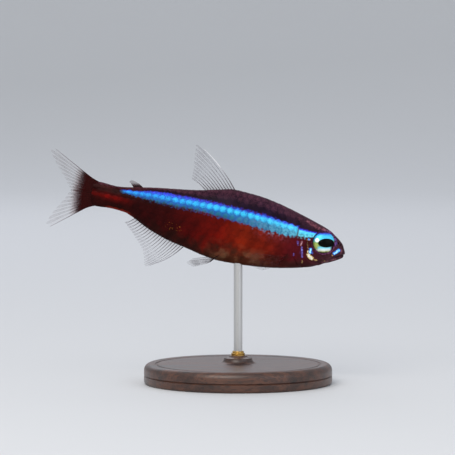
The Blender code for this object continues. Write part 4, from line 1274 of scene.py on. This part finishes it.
def rods(name, rays, material, thick, side=1):
    """The rays as tapered rods. All but the first branch twice towards the margin."""
    places, faces, looks = [], [], []
    count, rows, _ = rays.shape

    def rod(points, run, size, slim, order, length):
        start = len(places)
        along = np.gradient(points, axis=0)
        along /= np.linalg.norm(along, axis=1, keepdims=True)
        across = np.cross(along, (0.0, 1.0, 0.02))
        across /= np.linalg.norm(across, axis=1, keepdims=True)
        out = np.cross(along, across)
        for k, point in enumerate(points):
            radius = slim * (RAY_TIP + (size - RAY_TIP) * (1 - run[k]) ** 0.8)
            for i in range(ROD_SIDES):
                turn = math.tau * i / ROD_SIDES
                spoke = math.cos(turn) * across[k] + math.sin(turn) * out[k]
                places.append(point + radius * spoke)
                looks.append((order, run[k], run[k] * length))
        for k in range(len(points) - 1):
            for i in range(ROD_SIDES):
                j = (i + 1) % ROD_SIDES
                a, b = start + k * ROD_SIDES, start + (k + 1) * ROD_SIDES
                faces.append((a + i, a + j, b + j, b + i))
        last = start + (len(points) - 1) * ROD_SIDES
        faces.append(tuple(start + i for i in reversed(range(ROD_SIDES))))
        faces.append(tuple(last + i for i in range(ROD_SIDES)))

    shares = np.linspace(0, 1, rows)
    for i, ray in enumerate(rays):
        order = i / (count - 1)
        length = np.linalg.norm(np.diff(ray, axis=0), axis=1).sum() * 1000
        if i == 0:
            rod(ray, shares, thick * LEADING_SIZE, 1, order, length)
            continue
        stem = shares <= FIRST_BRANCH + 1e-6
        rod(ray[stem], shares[stem], thick, 1, order, length)
        near = rays[i - 1] - ray
        far = rays[i + 1] - ray if i < count - 1 else -near
        for toward in (near, far):
            for second, begins in ((-1, FIRST_BRANCH), (1, SECOND_BRANCH)):
                tail = shares >= begins - 1.5 / rows
                run = shares[tail]
                spread = FIRST_SPREAD * smooth(FIRST_BRANCH - 0.02, FIRST_BRANCH + 0.16, run)
                spread += second * SECOND_SPREAD * smooth(SECOND_BRANCH, SECOND_BRANCH + 0.14, run)
                points = ray[tail] + toward[tail] * spread[:, None]
                rod(points, run, thick, BRANCH_SIZE, order, length)
    piece = built_piece(name, posed(np.array(places) * (1, side, 1)), faces, material)
    add_vectors(piece.data, "ray_place", np.array(looks))
    face_outwards(piece)
    piece.data.shade_smooth()
    return piece


def film_material(name, colours, root_alpha, tip_alpha, fade_from, fade_to):
    """Fin skin: clear like wet cellophane, tinted and denser towards the root. It fades between
    these distances in mm from the root."""
    clear, shader = new_material(name, Specular_IOR_Level=0.05)
    fin_place = add_node(clear, "Attribute", attribute_name="fin_place")["Vector"]
    out = add_node(clear, "SeparateXYZ", fin_place)["Z"]
    # Streaks of pigment run along the rays. They are about 0.1 mm wide and 0.7 mm long.
    fanned = add_node(clear, "Mapping", Vector=fin_place, Scale=(46, 0, 1.4))
    wisps = add_node(clear, "TexNoise", Vector=fanned, Scale=1, Detail=3)["Fac"]
    spread = (fade_to - fade_from) * 0.6
    ragged = add_node(clear, "Math", wisps, spread, out, operation="MULTIPLY_ADD")
    fade = add_node(
        clear, "MapRange", ragged, fade_from + spread / 2, fade_to + spread / 2,
        **SOFTLY
    )
    tint = add_node(clear, "ValToRGB", fade, stops=colours)["Color"]
    density = add_node(clear, "MapRange", fade, 0.0, 1.0, root_alpha, tip_alpha)
    ripples = add_node(clear, "Bump", Height=wisps, Strength=0.2, Distance=0.00004)
    gloss = add_node(clear, "MapRange", wisps, 0.0, 1.0, 0.28, 0.46)
    feed(clear, shader, Base_Color=tint, Alpha=density, Normal=ripples, Roughness=gloss)
    return clear


def ray_material(name, colours, first_colour, fade_from, fade_to, root_alpha, tip_alpha):
    """Bone of the rays, jointed every 0.25 mm: pigmented at the root and glassy at the tip. The
    first ray has its own colour on its outer part."""
    bone, shader = new_material(name, Specular_IOR_Level=0.06)
    ray_place = add_node(bone, "Attribute", attribute_name="ray_place")["Vector"]
    order, share, out = add_node(bone, "SeparateXYZ", ray_place).values()
    fade = add_node(bone, "MapRange", out, fade_from, fade_to, **SOFTLY)
    tint = add_node(bone, "ValToRGB", fade, stops=colours)["Color"]
    first = add_node(bone, "MapRange", order, 0.04, 0.02)
    outer = add_node(bone, "MapRange", share, 0.30, 0.60, **SOFTLY)
    leading = add_node(bone, "Math", first, outer, operation="MULTIPLY")
    tint = add_node(bone, "Mix", leading, tint, first_colour)
    turns = add_node(bone, "Math", out, math.tau / 0.25, operation="MULTIPLY")
    joints = add_node(bone, "Math", turns, operation="SINE")
    joint_tone = add_node(bone, "MapRange", joints, -1.0, 1.0, 0.34, 0.54)
    density = add_node(bone, "MapRange", fade, 0.0, 1.0, root_alpha, tip_alpha)
    density = add_node(bone, "Math", density, leading, operation="MAXIMUM")
    feed(bone, shader, Base_Color=tint, Roughness=joint_tone, Alpha=density)
    return bone


# Clear skin stretches over most fins. It is darker low on the flank, fleshy on the adipose fin,
# and dark red over the inner part of the tail.
clear_film = film_material(
    "clear_fin_skin", ((0, "#442830"), (1, "#8C8894")), 0.12, 0.03, 0.2, 1.6
)
paired_film = film_material(
    "paired_fin_skin", ((0, "#3A2028"), (1, "#5C4248")), 0.09, 0.02, 0.2, 1.6
)
flesh_film = film_material(
    "fleshy_fin_skin", ((0, "#2A1014"), (1, "#4A282C")), 0.90, 0.25, 0.5, 1.2
)
tail_film = film_material(
    "tail_fin_skin", ((0, "#2A0404"), (0.3, "#2C0505"), (0.6, "#481410"), (1, "#8C7470")),
    1.0, 0.03, 2.6, 4.8,
)
# Bone of the rays: dark at the root and greyer towards the tip, and thin and faint in the fins on
# the flank. The dorsal fin's leading ray is white on its outer part.
fin_bone = ray_material(
    "fin_ray_bone", ((0, "#34181E"), (1, "#5E5660")), "#7A747E", 0.3, 3.0, 0.70, 0.28
)
pectoral_bone = ray_material(
    "pectoral_ray_bone", ((0, "#3A1012"), (1, "#402428")), "#402428", 0.2, 2.4, 0.32, 0.16
)
pelvic_bone = ray_material(
    "pelvic_ray_bone", ((0, "#2C1014"), (1, "#44343C")), "#44343C", 0.3, 2.8, 0.45, 0.12
)
dorsal_bone = ray_material(
    "dorsal_ray_bone", ((0, "#34181E"), (1, "#5E5660")), "#FBFAFC", 0.3, 3.5, 0.70, 0.32
)
tail_bone = ray_material(
    "tail_ray_bone", ((0, "#260605"), (0.5, "#240808"), (1, "#5C5058")), "#54424A",
    2.4, 5.2, 0.95, 0.28,
)


def add_fin(name, slot, node, make_ray, count, sheet, bone, thick=RAY_ROOT, side=1, notch=0.06,
            **form):
    """One fin: its film, in place of the solid fin, and its rays where it has any. The notch is
    how far the margin dips between the rays, as a share of their length."""
    rays = np.array([make_ray(i / (count - 1), **form) for i in range(count)])
    hold(film(f"{name}_film", rays, notch, sheet, side), slot, node)
    if bone:
        hold(rods(f"{name}_rays", rays, bone, thick, side), slot)


PECTORAL_THICK, PELVIC_THICK = 0.000026, 0.00003
add_fin("dorsal", "fin_membrane", "dorsal_fin", midline_ray, 11, clear_film, dorsal_bone, **DORSAL)
add_fin(
    "adipose", "fin_membrane", "adipose_fin", midline_ray, 7, flesh_film, None, notch=0, **ADIPOSE
)
add_fin("anal", "fin_membrane", "anal_fin", midline_ray, 20, clear_film, fin_bone, **ANAL)
for lobe, count, form in (("upper", 10, TAIL_UPPER), ("lower", 9, TAIL_LOWER)):
    add_fin(
        f"tail_{lobe}", "tail_fin_membrane", f"tail_fin_{lobe}", tail_ray, count, tail_film,
        tail_bone, **form
    )
for word, side in (("left", 1), ("right", -1)):
    for fin, count, bone, thick, form in (
        ("pectoral", 11, pectoral_bone, PECTORAL_THICK, PECTORAL),
        ("pelvic", 8, pelvic_bone, PELVIC_THICK, PELVIC),
    ):
        add_fin(
            f"{fin}_{word}", "fin_membrane", f"{fin}_fin_{word}", paired_ray, count, paired_film,
            bone, thick, side, **form
        )


# Floor: a sheet of pale grey card that sweeps up well behind the model.
FLOOR_HALF, SWEEP_START, SWEEP_RADIUS = 1.8, 0.50, 0.60
bpy.ops.mesh.primitive_grid_add(x_subdivisions=2, y_subdivisions=96, size=2 * FLOOR_HALF)
card, shader = new_material("pale_card", Base_Color="#D2D4D7", Roughness=0.8)
floor = new_piece("floor", card)
for vertex in floor.data.vertices:
    beyond = vertex.co.y - SWEEP_START
    if beyond > 0:
        turn = min(beyond / SWEEP_RADIUS, math.pi / 2)
        climb = max(beyond - SWEEP_RADIUS * math.pi / 2, 0)
        vertex.co.y = SWEEP_START + SWEEP_RADIUS * math.sin(turn)
        vertex.co.z = SWEEP_RADIUS * (1 - math.cos(turn)) + climb
floor.data.shade_smooth()
place = add_node(card, "TexCoord")["Object"]
fibre = add_node(card, "TexNoise", Vector=place, Scale=900, Detail=4)["Fac"]
tooth = add_node(card, "Bump", Height=fibre, Strength=0.05, Distance=0.0001)
feed(card, shader, Normal=tooth)


# Light: one large soft box above and to the left, a weaker one to the right, one from behind,
# and a pale room.
def soft_box(name, place, size, power, tint):
    """A square soft lamp, turned towards the model."""
    light = bpy.data.lights.new(name, "AREA")
    light.shape = "SQUARE"
    light.size = size
    light.energy = power
    light.color = colour(tint)[:3]
    lamp = bpy.data.objects.new(name, light)
    lamp.location = place
    towards = Vector((0, 0, 0.02)) - lamp.location
    lamp.rotation_euler = towards.to_track_quat("-Z", "Y").to_euler()
    bpy.context.scene.collection.objects.link(lamp)


soft_box("key", (-0.14, -0.38, 0.34), 0.36, 1.7, "#FFFAF2")
soft_box("fill", (0.36, -0.32, 0.16), 0.40, 0.4, "#EEF4FF")
soft_box("rim", (-0.10, 0.40, 0.36), 0.40, 0.6, "#F4F6FF")
room = bpy.data.worlds.new("room")
room.use_nodes = True
pale = room.node_tree.nodes["Background"]
pale.inputs["Color"].default_value = colour("#E2E5EA")
pale.inputs["Strength"].default_value = 0.80
bpy.context.scene.world = room


# Camera: square to the fish's right side and a little above it, with the picture framed as the
# photograph is: the fish takes up about two thirds of its width.
PICTURE_WIDTH = 0.0627
PICTURE_CENTRE = Vector((-0.00146, 0, 0.02157))
CAMERA_DISTANCE, CAMERA_RISE = 0.45, math.radians(3.5)
lens = bpy.data.cameras.new("camera")
lens.sensor_width = 36
lens.lens = lens.sensor_width * CAMERA_DISTANCE / PICTURE_WIDTH
lens.clip_start = 0.01
camera = bpy.data.objects.new("camera", lens)
camera.location = PICTURE_CENTRE + CAMERA_DISTANCE * Vector(
    (0, -math.cos(CAMERA_RISE), math.sin(CAMERA_RISE))
)
camera.rotation_euler = (math.pi / 2 - CAMERA_RISE, 0, 0)
bpy.context.scene.collection.objects.link(camera)
bpy.context.scene.camera = camera
bpy.context.scene.view_settings.view_transform = "Standard"
